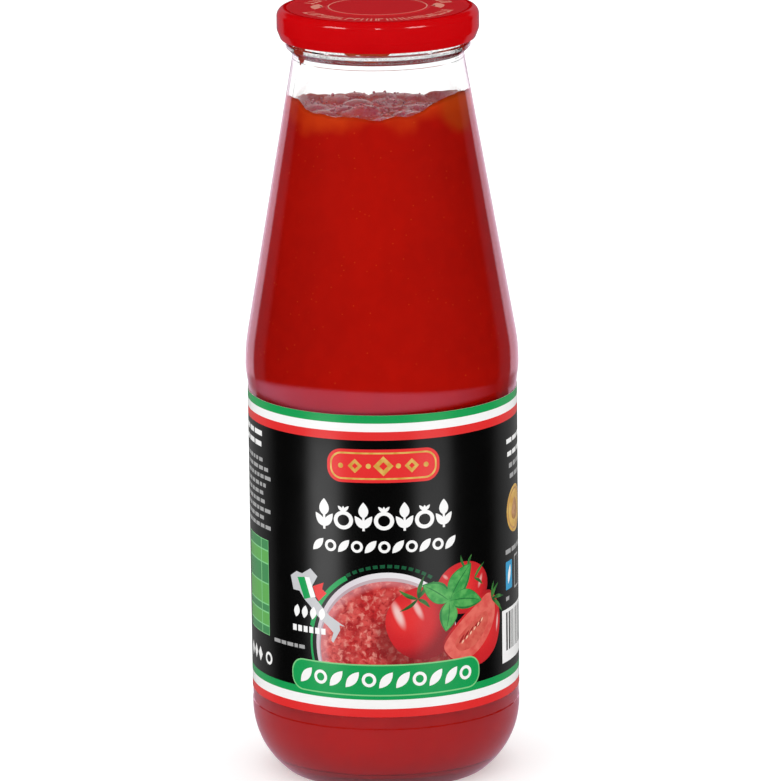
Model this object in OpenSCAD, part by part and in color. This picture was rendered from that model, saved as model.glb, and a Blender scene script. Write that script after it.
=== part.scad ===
// A 0.72 litre glass bottle of passata: a round clear bottle with a recessed label panel and
// a long sloping shoulder, a pressed twist-off cap and a wrap-round paper label.
// The origin is the centre of the ring that the bottle stands on. +Z is up and -Y is the front.

/* [Body of the bottle] */
// Height of the glass, from the table to its rim
bottle_h = 223.7; // [180:0.1:290]
// Widest diameter, at the shoulder just above the label
shoulder_d = 79.0; // [62:0.1:110]
// How far the glass behind the label lies inside the shoulder
panel_inset = 0.63; // [0.2:0.01:1.5]
// How far the heel lies inside the shoulder
heel_inset = 0.5; // [0:0.01:1.5]
// Thickness of the side wall behind the label
wall_t = 3.0; // [2:0.1:4]
// How far the heel draws in on its way down to the table
foot_inset = 9.3; // [5:0.1:12]
// Width of the ring that it stands on
foot_w = 4.2; // [3.5:0.1:8]
// Height at which the heel becomes upright
heel_h = 19.8; // [16:0.1:26]
// Height of the hollow under the base
punt_h = 4.2; // [2:0.1:7]
// Thickness of the base over its ring
base_t = 4.8; // [3:0.1:7]

/* [Label panel and shoulder] */
// Plain glass between the top of the heel and the ledge of the label panel
ledge_gap = 0.6; // [0.2:0.1:3]
// Height of the label panel
panel_h = 94.4; // [50:0.1:125]
// Height of the step from the panel out to the shoulder
step_h = 4.4; // [3:0.1:8]
// Height from the top of that step to the corner of the slope
shoulder_h = 6.2; // [5.5:0.1:12]
// Radius that rounds the shoulder into the slope
shoulder_round = 50; // [10:1:55]

/* [Neck and finish] */
// Diameter of the glass inside the cap, between its threads
finish_d = 51.6; // [42:0.1:62]
// Height from the top of the slope to the rim
finish_h = 14.1; // [12:0.1:20]
// Width of the rim
rim_w = 3.8; // [3.2:0.1:5]
// How far the neck lies inside the finish
neck_inset = 1.05; // [0:0.05:2]
// How far the bead under the cap stands out of the finish
bead_reach = 0.7; // [0.5:0.1:1.6]
// How far a thread stands out of the finish
thread_reach = 1.5; // [0.8:0.05:2]
// Width of a thread at its root
thread_w = 2.2; // [1.2:0.1:2.4]
// Number of threads, and of the cap's lugs
threads = 6; // [3:1:8]
// Angle that each thread covers
thread_angle = 42; // [20:1:44]
// Slope of each thread
thread_tilt = 3.2; // [1:0.1:4]

/* [Cap] */
// Height of the cap
cap_h = 9.0; // [8.4:0.1:9.6]
// Thickness of the tinplate
cap_t = 0.24; // [0.15:0.01:0.5]
// Room between the threads and the cap's skirt
skirt_gap = 1.46; // [0.9:0.02:2]
// Radius round the cap's top edge
cap_round = 2.4; // [1:0.1:2.6]
// How far the skirt draws in to its curled edge
cap_draw = 1.1; // [0.6:0.1:1.3]
// Thickness of the curled edge
curl_d = 1.4; // [1:0.1:1.5]
// Width of the raised crown round the cap's sunk panel
crown_w = 3.3; // [3.2:0.1:4]
// Depth of the sunk panel
cap_drop = 0.5; // [0.3:0.05:0.8]
// Diameter of the button in the middle of the panel
button_d = 29.0; // [10:0.5:34]
// How far the button stands above the panel
button_rise = 0.22; // [0.05:0.01:0.3]
// Angle that each of the cap's lugs covers
lug_angle = 13; // [6:1:20]
// Gap between the cap and the rim that it sits on
cap_gap = 0.05; // [0.01:0.01:0.2]

/* [Label] */
// Bare glass under the label, down to the ledge of its panel
label_foot = 3.8; // [0.5:0.1:10]
// Bare glass over the label, up to the top of its panel
label_head = 1.5; // [1.5:0.1:10]
// Thickness of the paper
label_t = 0.14; // [0.05:0.01:0.3]
// Length of the overlap at the back
label_lap = 8; // [2:0.5:20]
// Layer of glue under the label
glue_t = 0.02; // [0.01:0.01:0.1]

/* [Passata] */
// Depth of the surface below the rim
headspace_h = 28.1; // [20:0.1:80]
// How far the passata stands up at the wall
fill_climb = 2.8; // [0.5:0.1:4]
// Gap between the passata and the glass
fill_gap = 0.06; // [0.01:0.01:0.2]
// Number of bubbles round the wall
wall_bubbles = 17; // [0:1:24]
// Number of bubbles on the rest of the surface
loose_bubbles = 12; // [0:1:20]
// Radius of the smallest bubble
bubble_min = 1.3; // [0.8:0.1:2]
// Radius of the largest bubble
bubble_max = 3.2; // [2:0.1:4]

/* [Hidden] */
$fn = 96;
arc_step = 6;           // degrees between the points of a rounded corner

// Radii and heights of the body
shoulder_r = shoulder_d / 2;
panel_r = shoulder_r - panel_inset;
heel_r = shoulder_r - heel_inset;
foot_r = heel_r - foot_inset;
foot_inner_r = foot_r - foot_w;
inside_r = panel_r - wall_t;
inside_foot_r = foot_r - wall_t;
ledge_z = heel_h + ledge_gap;
panel_top = ledge_z + panel_h;
bead_z = panel_top + step_h;
slope_z = bead_z + shoulder_h;
neck_z = bottle_h - finish_h;

// Small shapes of the body
foot_round = 1.6;       // both edges of the ring that it stands on
punt_round = 14;        // edge of the flat middle of the hollow
punt_flat = 0.45;       // that edge, as a share of the hollow's radius
ledge_rise = 0.3;       // height of the ledge's slope
step_round = 14;        // hollow and round of the step over the label
floor_rise = 2.0;       // how far the floor rises over the hollow
floor_flat = 0.4;       // flat middle of the floor, as a share of its radius
floor_round = 12;       // round between the heel and the floor, inside
floor_spare = 2.6;      // length of the inside heel that this round takes up
throat_round = 6;       // where the slope meets the bore, inside

// Radii and small shapes of the neck
finish_r = finish_d / 2;
bore_r = finish_r - rim_w;
neck_r = finish_r - neck_inset;
bead_r = finish_r + bead_reach;
rim_round = 1.5;
neck_round = 1;
seam_z = neck_z + 0.5;  // where the neck ring of the mould begins
seam_step = 0.12;
collar_z = neck_z + 1.9;
collar_rise = 1.7;      // slope under the bead
collar_h = 1.0;         // upright part of the bead
collar_round = 0.4;
collar_top = collar_z + collar_rise + collar_h;

// Cap
cap_r = finish_r + thread_reach + skirt_gap + cap_t;
cap_top = bottle_h + cap_gap + cap_t + cap_drop;
cap_low = cap_top - cap_h;
cap_panel_r = cap_r - crown_w;
button_r = button_d / 2;
press = 0.5;            // width of the slopes pressed into the cap's top
press_round = 0.25;
draw_h = 2.8;           // height over which the skirt draws in
lug_lift = 0.15;        // lug above the cap's lower edge
lug_h = 0.9;
lug_gap = 0.5;          // lug to finish
thread_gap = 0.25;      // lug to thread
thread_climb = finish_r * sin(thread_angle / 2) * tan(thread_tilt);
thread_z = cap_low + lug_lift + lug_h + thread_gap + thread_climb + thread_w / 2;

// Label
label_z = ledge_z + label_foot;
label_h = panel_top - label_head - label_z;
label_r = panel_r + glue_t;

// Passata
fill_z = bottle_h - headspace_h;
bubble_inset = 0.6;     // bubble to wall
golden_angle = 137.5;   // spreads the loose bubbles evenly

// Round the corners of a path of [x, y, radius] points. A radius of 0 keeps the corner sharp.
function unit(v) = v / norm(v);
function flat(p) = [p.x, p.y];
function turn(a, b) = (b - a + 540) % 360 - 180;
function bend(before, p, after) =
    let (a = unit(flat(before) - flat(p)),
         b = unit(flat(after) - flat(p)),
         half = acos(a * b) / 2,
         centre = flat(p) + unit(a + b) * p.z / sin(half),
         start = flat(p) + a * p.z / tan(half) - centre,
         end = flat(p) + b * p.z / tan(half) - centre,
         from = atan2(start.y, start.x),
         sweep = turn(from, atan2(end.y, end.x)),
         steps = max(2, ceil(abs(sweep) / arc_step)))
    [for (i = [0:steps])
        centre + p.z * [cos(from + sweep * i / steps), sin(from + sweep * i / steps)]];
function rounded(path) =
    [for (i = [0:len(path) - 1])
        each (path[i].z == 0 ? [flat(path[i])] : bend(path[i - 1], path[i], path[i + 1]))];

// A heel is an arc that is upright at height h and has run in by the distance in at its foot.
// heel_corner is the height of the corner that this arc rounds, and heel_radius leaves the
// length spare between the arc and the foot.
function heel_corner(in, h) = (h * h - in * in) / (2 * h);
function heel_radius(in, h, spare) = ((h * h + in * in) / (2 * h) - spare) * h / in;

// The outside of the glass, from the middle of the base up and over the rim.
function outside() = rounded([
    [0, punt_h, 0],
    [foot_inner_r * punt_flat, punt_h, punt_round],
    [foot_inner_r, 0, foot_round],
    [foot_r, 0, foot_round],
    [heel_r, heel_corner(foot_inset, heel_h), heel_radius(foot_inset, heel_h, foot_round / 2)],
    [heel_r, ledge_z, 0],
    [panel_r, ledge_z + ledge_rise, 0],
    [panel_r, panel_top, step_round],
    [shoulder_r, bead_z, step_round],
    [shoulder_r, slope_z, shoulder_round],
    [neck_r, neck_z, neck_round],
    [neck_r, seam_z, 0],
    [neck_r - seam_step, seam_z + seam_step, 0],
    [neck_r - seam_step, collar_z, collar_round],
    [bead_r, collar_z + collar_rise, collar_round],
    [bead_r, collar_top, collar_round],
    [finish_r, collar_top + collar_round, 0],
    [finish_r, bottle_h, rim_round],
    [bore_r, bottle_h, rim_round],
    [bore_r, neck_z, 0]]);

// The inside of the glass, from the middle of the floor up to the rim, drawn in by gap.
function inside(gap = 0) =
    let (r = inside_r - gap, low = base_t + gap, run = r - inside_foot_r, h = heel_h - low)
    rounded([
        [0, low + floor_rise, 0],
        [inside_foot_r * floor_flat, low + floor_rise, floor_round],
        [inside_foot_r, low, floor_round],
        [r, low + heel_corner(run, h), heel_radius(run, h, floor_spare)],
        [r, slope_z, shoulder_round],
        [bore_r - gap, neck_z, throat_round],
        [bore_r - gap, bottle_h, 0]]);

// One thread of the finish, a low ridge with sloping sides that climbs as it goes round.
module thread() {
    root = 0.6;
    crest = thread_w * 0.2;
    foot = thread_w / 2 + root * 0.5;
    rotate([thread_tilt, 0, 0])
        rotate([0, 0, -thread_angle / 2])
            rotate_extrude(angle = thread_angle)
                polygon([[finish_r - root, -foot], [finish_r + thread_reach, -crest],
                         [finish_r + thread_reach, crest], [finish_r - root, foot]]);
}

module bottle() {
    skin = outside();
    hollow = inside();
    color([0.93, 0.90, 0.90, 0.45]) {
        rotate_extrude()
            polygon(concat([for (i = [0:len(skin) - 2]) skin[i]],
                           [for (i = [len(hollow) - 2:-1:0]) hollow[i]]));
        for (i = [0:threads - 1])
            translate([0, 0, thread_z])
                rotate([0, 0, (i + 0.5) * 360 / threads])
                    thread();
    }
}

// Half the width of the passata at height z.
function fill_r(z) =
    min(inside_r, bore_r + (inside_r - bore_r) * (neck_z - z) / (neck_z - slope_z)) - fill_gap;

// Bubbles that break the surface: a ring of them along the wall, and more inside it.
module bubbles() {
    count = wall_bubbles + loose_bubbles;
    size = rands(bubble_min, bubble_max, count, 11);
    spread = rands(0, 1, count, 5);
    for (i = [0:1:wall_bubbles - 1])
        rotate([0, 0, (i + spread[i] * 0.5) * 360 / wall_bubbles])
            translate([fill_r(fill_z + fill_climb) - size[i] - bubble_inset, 0, fill_z + 0.3])
                sphere(size[i]);
    for (i = [0:1:loose_bubbles - 1])
        rotate([0, 0, i * golden_angle])
            translate([(fill_r(fill_z) - 7) * sqrt(spread[wall_bubbles + i]), 0, fill_z - 0.7])
                sphere(size[wall_bubbles + i]);
}

module passata() {
    side = fill_r(fill_z + fill_climb);
    surface = rounded([[0, fill_z, 0], [side - fill_climb * 0.6, fill_z, fill_climb],
                       [side, fill_z + fill_climb, 0], [shoulder_r, fill_z + fill_climb, 0]]);
    color([0.64, 0.07, 0.04])
        union() {
            rotate_extrude()
                intersection() {
                    polygon(concat(inside(fill_gap), [[0, bottle_h]]));
                    polygon(concat(surface, [[shoulder_r, 0], [0, 0]]));
                }
            bubbles();
        }
}

// The cap's section runs from the middle of the top out to the curled edge, and then back
// inside the tinplate.
module cap() {
    panel = cap_top - cap_drop;
    button = panel + button_rise;
    edge_r = cap_r - cap_draw;
    curl_r = edge_r - curl_d;
    outer = [
        [0, button, 0],
        [button_r, button, 0],
        [button_r + press, panel, 0],
        [cap_panel_r - press, panel, press_round],
        [cap_panel_r + press, cap_top, press_round],
        [cap_r, cap_top, cap_round],
        [cap_r, cap_low + draw_h, 2],
        [edge_r, cap_low, curl_d * 0.45],
        [curl_r, cap_low, curl_d * 0.45],
        [curl_r, cap_low + curl_d, curl_d * 0.2]];
    inner = [
        [cap_r - cap_t, cap_low + draw_h, 0],
        [cap_r - cap_t, cap_top - cap_t, cap_round - cap_t],
        [cap_panel_r + press, cap_top - cap_t, 0],
        [cap_panel_r - press, panel - cap_t, 0],
        [button_r + press, panel - cap_t, 0],
        [button_r, button - cap_t, 0],
        [0, button - cap_t, 0]];
    lug_r = finish_r + lug_gap;
    color([0.78, 0.04, 0.05]) {
        rotate_extrude()
            polygon(rounded(concat(outer, inner)));
        for (i = [0:threads - 1])
            rotate([0, 0, i * 360 / threads - lug_angle / 2])
                rotate_extrude(angle = lug_angle)
                    translate([lug_r, cap_low + lug_lift])
                        square([curl_r + curl_d / 3 - lug_r, lug_h]);
    }
}

// The overlap is drawn from the middle of the layer under it, so that both are one sheet.
module label() {
    lap_angle = label_lap / label_r * 180 / PI;
    color([0.10, 0.10, 0.11])
        translate([0, 0, label_z]) {
            rotate_extrude()
                translate([label_r, 0])
                    square([label_t, label_h]);
            rotate([0, 0, 90 - lap_angle / 2])
                rotate_extrude(angle = lap_angle)
                    translate([label_r + label_t / 2, 0])
                        square([label_t * 1.5, label_h]);
        }
}

bottle();
passata();
cap();
label();
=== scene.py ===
"""A clear glass bottle of passata with its twist-off cap and wrap-round label, in a plain studio."""

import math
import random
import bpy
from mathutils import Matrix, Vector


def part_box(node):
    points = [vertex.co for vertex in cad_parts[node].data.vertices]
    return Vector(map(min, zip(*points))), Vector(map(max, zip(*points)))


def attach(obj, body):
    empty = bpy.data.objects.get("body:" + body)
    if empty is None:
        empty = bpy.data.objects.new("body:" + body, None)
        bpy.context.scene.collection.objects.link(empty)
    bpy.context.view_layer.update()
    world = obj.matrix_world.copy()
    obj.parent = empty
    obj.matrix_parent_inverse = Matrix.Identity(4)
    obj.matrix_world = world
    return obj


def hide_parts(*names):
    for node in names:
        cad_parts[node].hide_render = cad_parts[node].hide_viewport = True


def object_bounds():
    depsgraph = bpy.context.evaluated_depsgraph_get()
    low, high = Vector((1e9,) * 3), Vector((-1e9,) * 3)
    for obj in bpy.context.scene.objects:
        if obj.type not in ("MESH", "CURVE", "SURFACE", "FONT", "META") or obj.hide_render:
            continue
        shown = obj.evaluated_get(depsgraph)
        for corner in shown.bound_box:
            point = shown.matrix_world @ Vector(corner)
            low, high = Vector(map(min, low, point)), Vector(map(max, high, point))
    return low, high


bl_info = {
    "name": "Passata Bottle",
    "version": (1, 0, 0),
    "blender": (4, 5, 0),
    "location": "View3D > Sidebar > Passata",
    "description": "Builds a glass bottle of passata, its cap, its label and a plain studio",
    "category": "Add Mesh",
}

from types import SimpleNamespace

import bmesh
import bpy
import numpy as np
from mathutils import Vector, geometry, noise

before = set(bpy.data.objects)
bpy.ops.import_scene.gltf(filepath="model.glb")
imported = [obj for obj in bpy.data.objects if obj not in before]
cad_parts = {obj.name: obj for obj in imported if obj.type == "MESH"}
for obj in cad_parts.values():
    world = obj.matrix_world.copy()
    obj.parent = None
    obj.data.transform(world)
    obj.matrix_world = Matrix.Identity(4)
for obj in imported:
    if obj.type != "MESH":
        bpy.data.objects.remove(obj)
CAD_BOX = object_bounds()

MM = 0.001
BODY = "root"
SEGMENTS = 192          # round the glass
FILL_SEGMENTS = 240     # round the passata
CAP_SEGMENTS = 180      # round the cap


# ---------------------------------------------------------------- settings

def srgb(red, green, blue):
    """A colour given as 0 to 255 values, as the linear RGBA that Blender's sockets take."""
    def linear(value):
        value /= 255
        return value / 12.92 if value <= 0.04045 else ((value + 0.055) / 1.055) ** 2.4
    return (linear(red), linear(green), linear(blue), 1.0)


def length(name, description, millimetres):
    """A length property whose default is given in millimetres."""
    return bpy.props.FloatProperty(
        name=name, description=description, default=millimetres * MM, min=0,
        unit="LENGTH", precision=5)


def colour(name, description, value):
    """A colour property."""
    return bpy.props.FloatVectorProperty(
        name=name, description=description, default=value, size=4, min=0, max=1,
        subtype="COLOR")


def number(name, description, value, low=0.0, high=10.0):
    """A plain number property."""
    return bpy.props.FloatProperty(
        name=name, description=description, default=value, min=low, max=high)


def box_size(node):
    """The lowest and highest corner of a CAD node, in millimetres."""
    low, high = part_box(node)
    return low / MM, high / MM


BOTTLE_LOW, BOTTLE_HIGH = box_size("bottle")
CAP_LOW, CAP_HIGH = box_size("cap")
LABEL_LOW, LABEL_HIGH = box_size("label")


class PassataGlassSettings(bpy.types.PropertyGroup):
    """Sizes of the glass."""
    bottle_h: length("Bottle height", "From the table to the rim of the glass", BOTTLE_HIGH.z)
    shoulder_d: length("Shoulder diameter", "Widest diameter, just above the label",
                       BOTTLE_HIGH.x - BOTTLE_LOW.x)
    panel_inset: length("Panel inset", "How far the label panel lies inside the shoulder", 0.63)
    heel_inset: length("Heel inset", "How far the heel lies inside the shoulder", 0.5)
    wall_t: length("Wall", "Thickness of the side wall", 3.0)
    foot_inset: length("Foot inset", "How far the heel draws in to the table", 9.3)
    foot_w: length("Foot width", "Width of the ring that the bottle stands on", 4.2)
    heel_h: length("Heel height", "Height at which the heel becomes upright", 19.8)
    punt_h: length("Punt height", "Height of the hollow under the base", 4.2)
    base_t: length("Base", "Thickness of the base over its ring", 4.8)
    ledge_gap: length("Ledge gap", "Plain glass between the heel and the panel's ledge", 0.6)
    panel_h: length("Panel height", "Height of the label panel", 94.4)
    step_h: length("Step height", "Height of the step from the panel to the shoulder", 4.4)
    shoulder_h: length("Shoulder height", "From the step to the corner of the slope", 6.2)
    finish_d: length("Finish diameter", "Glass inside the cap, between its threads", 51.6)
    finish_h: length("Finish height", "From the top of the slope to the rim", 14.1)
    rim_w: length("Rim width", "Width of the rim", 3.8)
    seam_h: length("Mould seam", "How far the seams of the mould stand out", 0.03)


class PassataFillSettings(bpy.types.PropertyGroup):
    """Level and colours of the passata."""
    level: length("Level", "Height of the surface", 193.7)
    overlap: length("Overlap", "How far the passata reaches into the glass", 0.18)
    deep: colour("Deep colour", "Passata low in the bottle", srgb(179, 17, 6))
    dark: colour("Dark colour", "Darker streaks of the passata", srgb(156, 11, 4))
    upper: colour("Upper colour", "Paler passata under the surface", srgb(200, 58, 14))
    film: colour("Film", "Thin film on the wall and under the cap", srgb(176, 68, 14))
    # The froth's mauve pink is partly its own colour and partly painted reflection of the pale room
    # on the wet bubbles.
    froth: colour("Froth", "Bubbles on the surface", srgb(188, 62, 94))
    vein: colour("Veins", "Passata between the bubbles", srgb(200, 50, 20))


class PassataCapSettings(bpy.types.PropertyGroup):
    """Colours of the cap."""
    lacquer: colour("Lacquer", "Red lacquer of the cap", srgb(208, 2, 8))
    # Paler and pinker than the lacquer: painted sheen of the light from above on the top panel.
    panel: colour("Panel", "Sunk panel of the cap", srgb(206, 24, 32))
    gilt: colour("Gilt", "Pale gold print on the panel", srgb(232, 152, 134))


class PassataLabelSettings(bpy.types.PropertyGroup):
    """Sizes and inks of the label."""
    paper_t: length("Paper", "Thickness of the paper", 0.14)
    lap: length("Overlap", "Length of the overlap at the back", 8.0)
    ground: colour("Ground", "Black ground of the label", srgb(6, 6, 6))
    green: colour("Green", "Green stripes and plaque", srgb(6, 164, 84))
    red: colour("Red", "Red stripes and crest", srgb(236, 40, 40))
    white: colour("White", "White stripes and motifs", srgb(255, 255, 254))


class PassataStudioSettings(bpy.types.PropertyGroup):
    """Camera and light of the studio."""
    distance: length("Distance", "From the camera to the bottle", 1928.0)
    elevation: bpy.props.FloatProperty(
        name="Elevation", description="Height of the camera above the horizon",
        default=math.radians(13.24), subtype="ANGLE")
    roll: bpy.props.FloatProperty(
        name="Roll", description="Turn of the camera about its own axis",
        default=math.radians(0.7), subtype="ANGLE")
    lens: number("Lens", "Focal length in millimetres", 306.6, 20, 500)
    daylight: number("Daylight", "Strength of the even light from all sides", 1.02)


def values_in_mm(group):
    """A settings group's lengths in millimetres, and its other values as they are."""
    found = SimpleNamespace()
    for key in type(group).__annotations__:
        value = getattr(group, key)
        is_length = group.bl_rna.properties[key].unit == "LENGTH"
        setattr(found, key, value / MM if is_length else value)
    return found


# ---------------------------------------------------------------- outlines

def rounded(path, step=6.0):
    """Points along a path of (r, z, radius) corners, each corner rounded by an arc."""
    points = []
    for i, (x, y, radius) in enumerate(path):
        corner = Vector((x, y))
        if radius == 0:
            points.append((x, y))
            continue
        back = (Vector(path[i - 1][:2]) - corner).normalized()
        on = (Vector(path[i + 1][:2]) - corner).normalized()
        half = back.angle(on) / 2
        centre = corner + (back + on).normalized() * radius / math.sin(half)
        start = corner + back * radius / math.tan(half) - centre
        end = corner + on * radius / math.tan(half) - centre
        first = math.atan2(start.y, start.x)
        sweep = (math.atan2(end.y, end.x) - first + 3 * math.pi) % (2 * math.pi) - math.pi
        steps = max(2, math.ceil(abs(math.degrees(sweep)) / step))
        for k in range(steps + 1):
            angle = first + sweep * k / steps
            points.append((centre.x + radius * math.cos(angle),
                           centre.y + radius * math.sin(angle)))
    return points


def divided(points, longest):
    """The same path with its long stretches cut into even pieces."""
    result = [points[0]]
    for before, after in zip(points, points[1:]):
        gap = math.dist(before, after)
        pieces = max(1, math.ceil(gap / longest))
        for k in range(1, pieces + 1):
            t = k / pieces
            result.append((before[0] + (after[0] - before[0]) * t,
                           before[1] + (after[1] - before[1]) * t))
    return result


def glass_sizes():
    """The glass's sizes, with the radii and heights that follow from them."""
    s = values_in_mm(bpy.context.scene.passata_glass)
    s.shoulder_r = s.shoulder_d / 2
    s.panel_r = s.shoulder_r - s.panel_inset
    s.heel_r = s.shoulder_r - s.heel_inset
    s.foot_r = s.heel_r - s.foot_inset
    s.foot_inner_r = s.foot_r - s.foot_w
    s.inside_r = s.panel_r - s.wall_t
    s.ledge_z = s.heel_h + s.ledge_gap
    s.panel_top = s.ledge_z + s.panel_h
    s.bead_z = s.panel_top + s.step_h
    s.slope_z = s.bead_z + s.shoulder_h
    s.neck_z = s.bottle_h - s.finish_h
    s.finish_r = s.finish_d / 2
    s.bore_r = s.finish_r - s.rim_w
    s.neck_r = s.finish_r - 1.05
    s.bead_r = s.finish_r + 0.7
    s.collar_z = s.neck_z + 1.9
    s.collar_top = s.collar_z + 2.7
    return s


def heel_corner(run, height):
    """Height of the corner that a heel's arc rounds."""
    return (height * height - run * run) / (2 * height)


def heel_radius(run, height, spare):
    """Radius of a heel's arc that leaves the length spare at its foot."""
    return ((height * height + run * run) / (2 * height) - spare) * height / run


def outside(s):
    """The outside of the glass, from the middle of the base up and over the rim."""
    foot_round = 1.6
    return [
        (0, s.punt_h, 0),
        (s.foot_inner_r * 0.45, s.punt_h, 14),
        (s.foot_inner_r, 0, foot_round),
        (s.foot_r, 0, foot_round),
        (s.heel_r, heel_corner(s.foot_inset, s.heel_h),
         heel_radius(s.foot_inset, s.heel_h, foot_round / 2)),
        (s.heel_r, s.ledge_z, 0.12),
        (s.panel_r, s.ledge_z + 0.3, 0.12),
        (s.panel_r, s.panel_top, 14),
        (s.shoulder_r, s.bead_z, 14),
        (s.shoulder_r, s.slope_z, 50),
        (s.neck_r, s.neck_z, 1),
        (s.neck_r, s.neck_z + 0.5, 0.05),
        (s.neck_r - 0.12, s.neck_z + 0.62, 0.05),
        (s.neck_r - 0.12, s.collar_z, 0.4),
        (s.bead_r, s.collar_z + 1.7, 0.4),
        (s.bead_r, s.collar_top, 0.4),
        (s.finish_r, s.collar_top + 0.4, 0),
        (s.finish_r, s.bottle_h, 1.5),
        (s.bore_r, s.bottle_h, 1.5),
        (s.bore_r, s.neck_z, 0)]


def inside(s, gap=0.0):
    """The inside of the glass, from the middle of the floor up to the rim."""
    r = s.inside_r - gap
    low = s.base_t + gap
    foot = s.foot_r - s.wall_t
    run = r - foot
    height = s.heel_h - low
    return [
        (0, low + 2, 0),
        (foot * 0.4, low + 2, 12),
        (foot, low, 12),
        (r, low + heel_corner(run, height), heel_radius(run, height, 2.6)),
        (r, s.slope_z, 50),
        (s.bore_r - gap, s.neck_z, 6),
        (s.bore_r - gap, s.bottle_h, 0)]


def inner_radius(s, z):
    """Radius of the inside of the glass at a height above the heel."""
    slope = s.bore_r + (s.inside_r - s.bore_r) * (s.neck_z - z) / (s.neck_z - s.slope_z)
    return max(s.bore_r, min(s.inside_r, slope))


# ---------------------------------------------------------------- meshes

def on_ring(r, angle, z):
    """A point at radius r and height z, at an angle that is 0 at the front and grows to the right."""
    return (r * math.sin(angle), -r * math.cos(angle), z)


def even_angles(count):
    """Angles all the way round."""
    return [2 * math.pi * i / count for i in range(count)]


def closed_faces(rings, count):
    """Faces of a closed turned mesh: a first point, rings of count points, and a last point."""
    last = rings * count + 1
    top = last - count
    pairs = [(i, (i + 1) % count) for i in range(count)]
    faces = [(0, 1 + j, 1 + i) for i, j in pairs]
    for low in range(1, top, count):
        high = low + count
        faces += [(low + i, low + j, high + j, high + i) for i, j in pairs]
    return faces + [(last, top + i, top + j) for i, j in pairs]


def lathe(points, angles, lift=None):
    """Vertices and faces of a turned solid. points start and end on the axis, and lift adds
    to the radius of a point at (r, angle, z)."""
    verts = [(0, 0, points[0][1])]
    for r, z in points[1:-1]:
        for angle in angles:
            extra = lift(r, angle, z) if lift else 0
            verts.append(on_ring(r + extra, angle, z))
    verts.append((0, 0, points[-1][1]))
    return verts, closed_faces(len(points) - 2, len(angles))


def lit_group(slot):
    """The collection of the pieces of one slot, which lights made for them alone shine on."""
    name = "lit_" + slot
    return bpy.data.collections.get(name) or bpy.data.collections.new(name)


def make_piece(name, verts, faces, materials, slot, replaces=(), smooth=True, sharp=40,
               inks=None, tidy=True):
    """A mesh object from vertices in millimetres that rides on the bottle."""
    mesh = bpy.data.meshes.new(name)
    mesh.from_pydata([(x * MM, y * MM, z * MM) for x, y, z in verts], [], faces)
    for material in materials:
        mesh.materials.append(material)
    if inks is not None:
        mesh.polygons.foreach_set("material_index", inks)
    if tidy:
        shape = bmesh.new()
        shape.from_mesh(mesh)
        bmesh.ops.recalc_face_normals(shape, faces=shape.faces)
        shape.to_mesh(mesh)
        shape.free()
    mesh.polygons.foreach_set("use_smooth", [smooth] * len(mesh.polygons))
    if smooth and sharp:
        mesh.set_sharp_from_angle(angle=math.radians(sharp))
    mesh.validate()
    mesh.update()
    piece = bpy.data.objects.new(name, mesh)
    bpy.context.scene.collection.objects.link(piece)
    lit_group(slot).objects.link(piece)
    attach(piece, BODY)
    if replaces:
        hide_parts(*replaces)
    return piece


def smoothstep(low, high, value):
    """0 below low, 1 above high, and a smooth curve between."""
    t = min(1.0, max(0.0, (value - low) / (high - low)))
    return t * t * (3 - 2 * t)


def around(angle, centre):
    """The difference between two angles, from -pi to pi."""
    return (angle - centre + math.pi) % (2 * math.pi) - math.pi


# ---------------------------------------------------------------- shader nodes

def add(tree, kind, inputs=None, **settings):
    """Adds a node, and sets or links its inputs by name or number."""
    made = tree.nodes.new(kind)
    for key, value in settings.items():
        setattr(made, key, value)
    for socket, value in (inputs or {}).items():
        if isinstance(value, bpy.types.NodeSocket):
            tree.links.new(value, made.inputs[socket])
        else:
            made.inputs[socket].default_value = value
    return made


def maths(tree, operation, a, b=0.0, clamp=False):
    """The result of a Math node."""
    return add(tree, "ShaderNodeMath", {0: a, 1: b}, operation=operation,
               use_clamp=clamp).outputs[0]


def scaled(tree, value, by, plus):
    """A value times one number, plus another."""
    return add(tree, "ShaderNodeMath", {0: value, 1: by, 2: plus},
               operation="MULTIPLY_ADD").outputs[0]


def vectors(tree, operation, a, b=None):
    """The result of a Vector Math node."""
    inputs = {0: a} if b is None else {0: a, 1: b}
    made = add(tree, "ShaderNodeVectorMath", inputs, operation=operation)
    return made.outputs["Value" if operation in ("LENGTH", "DISTANCE") else "Vector"]


def rough_field(tree, place, scale, detail, output="Fac"):
    """The result of a Noise Texture node."""
    return add(tree, "ShaderNodeTexNoise",
               {"Vector": place, "Scale": scale, "Detail": detail}).outputs[output]


def cells(tree, place, scale):
    """The distance to the nearest point of a Voronoi Texture node."""
    return add(tree, "ShaderNodeTexVoronoi",
               {"Vector": place, "Scale": scale}).outputs["Distance"]


def blend(tree, factor, a, b):
    """The result of a colour Mix node."""
    return add(tree, "ShaderNodeMix", {"Factor": factor, 6: a, 7: b},
               data_type="RGBA").outputs[2]


def spread(tree, value, low, high, to_low=0.0, to_high=1.0):
    """A value mapped from one range to another with soft ends."""
    return add(tree, "ShaderNodeMapRange",
               {"Value": value, "From Min": low, "From Max": high,
                "To Min": to_low, "To Max": to_high},
               interpolation_type="SMOOTHSTEP").outputs["Result"]


def new_group(name, inputs, outputs):
    """A shader node group with the sockets given as (name, type, default)."""
    tree = bpy.data.node_groups.new(name, "ShaderNodeTree")
    for label, kind, value in inputs:
        socket = tree.interface.new_socket(label, in_out="INPUT", socket_type=kind)
        if value is not None:
            socket.default_value = value
    for label, kind in outputs:
        tree.interface.new_socket(label, in_out="OUTPUT", socket_type=kind)
    return tree, tree.nodes.new("NodeGroupInput"), tree.nodes.new("NodeGroupOutput")


FLOAT, COLOUR, VECTOR = "NodeSocketFloat", "NodeSocketColor", "NodeSocketVector"


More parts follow.
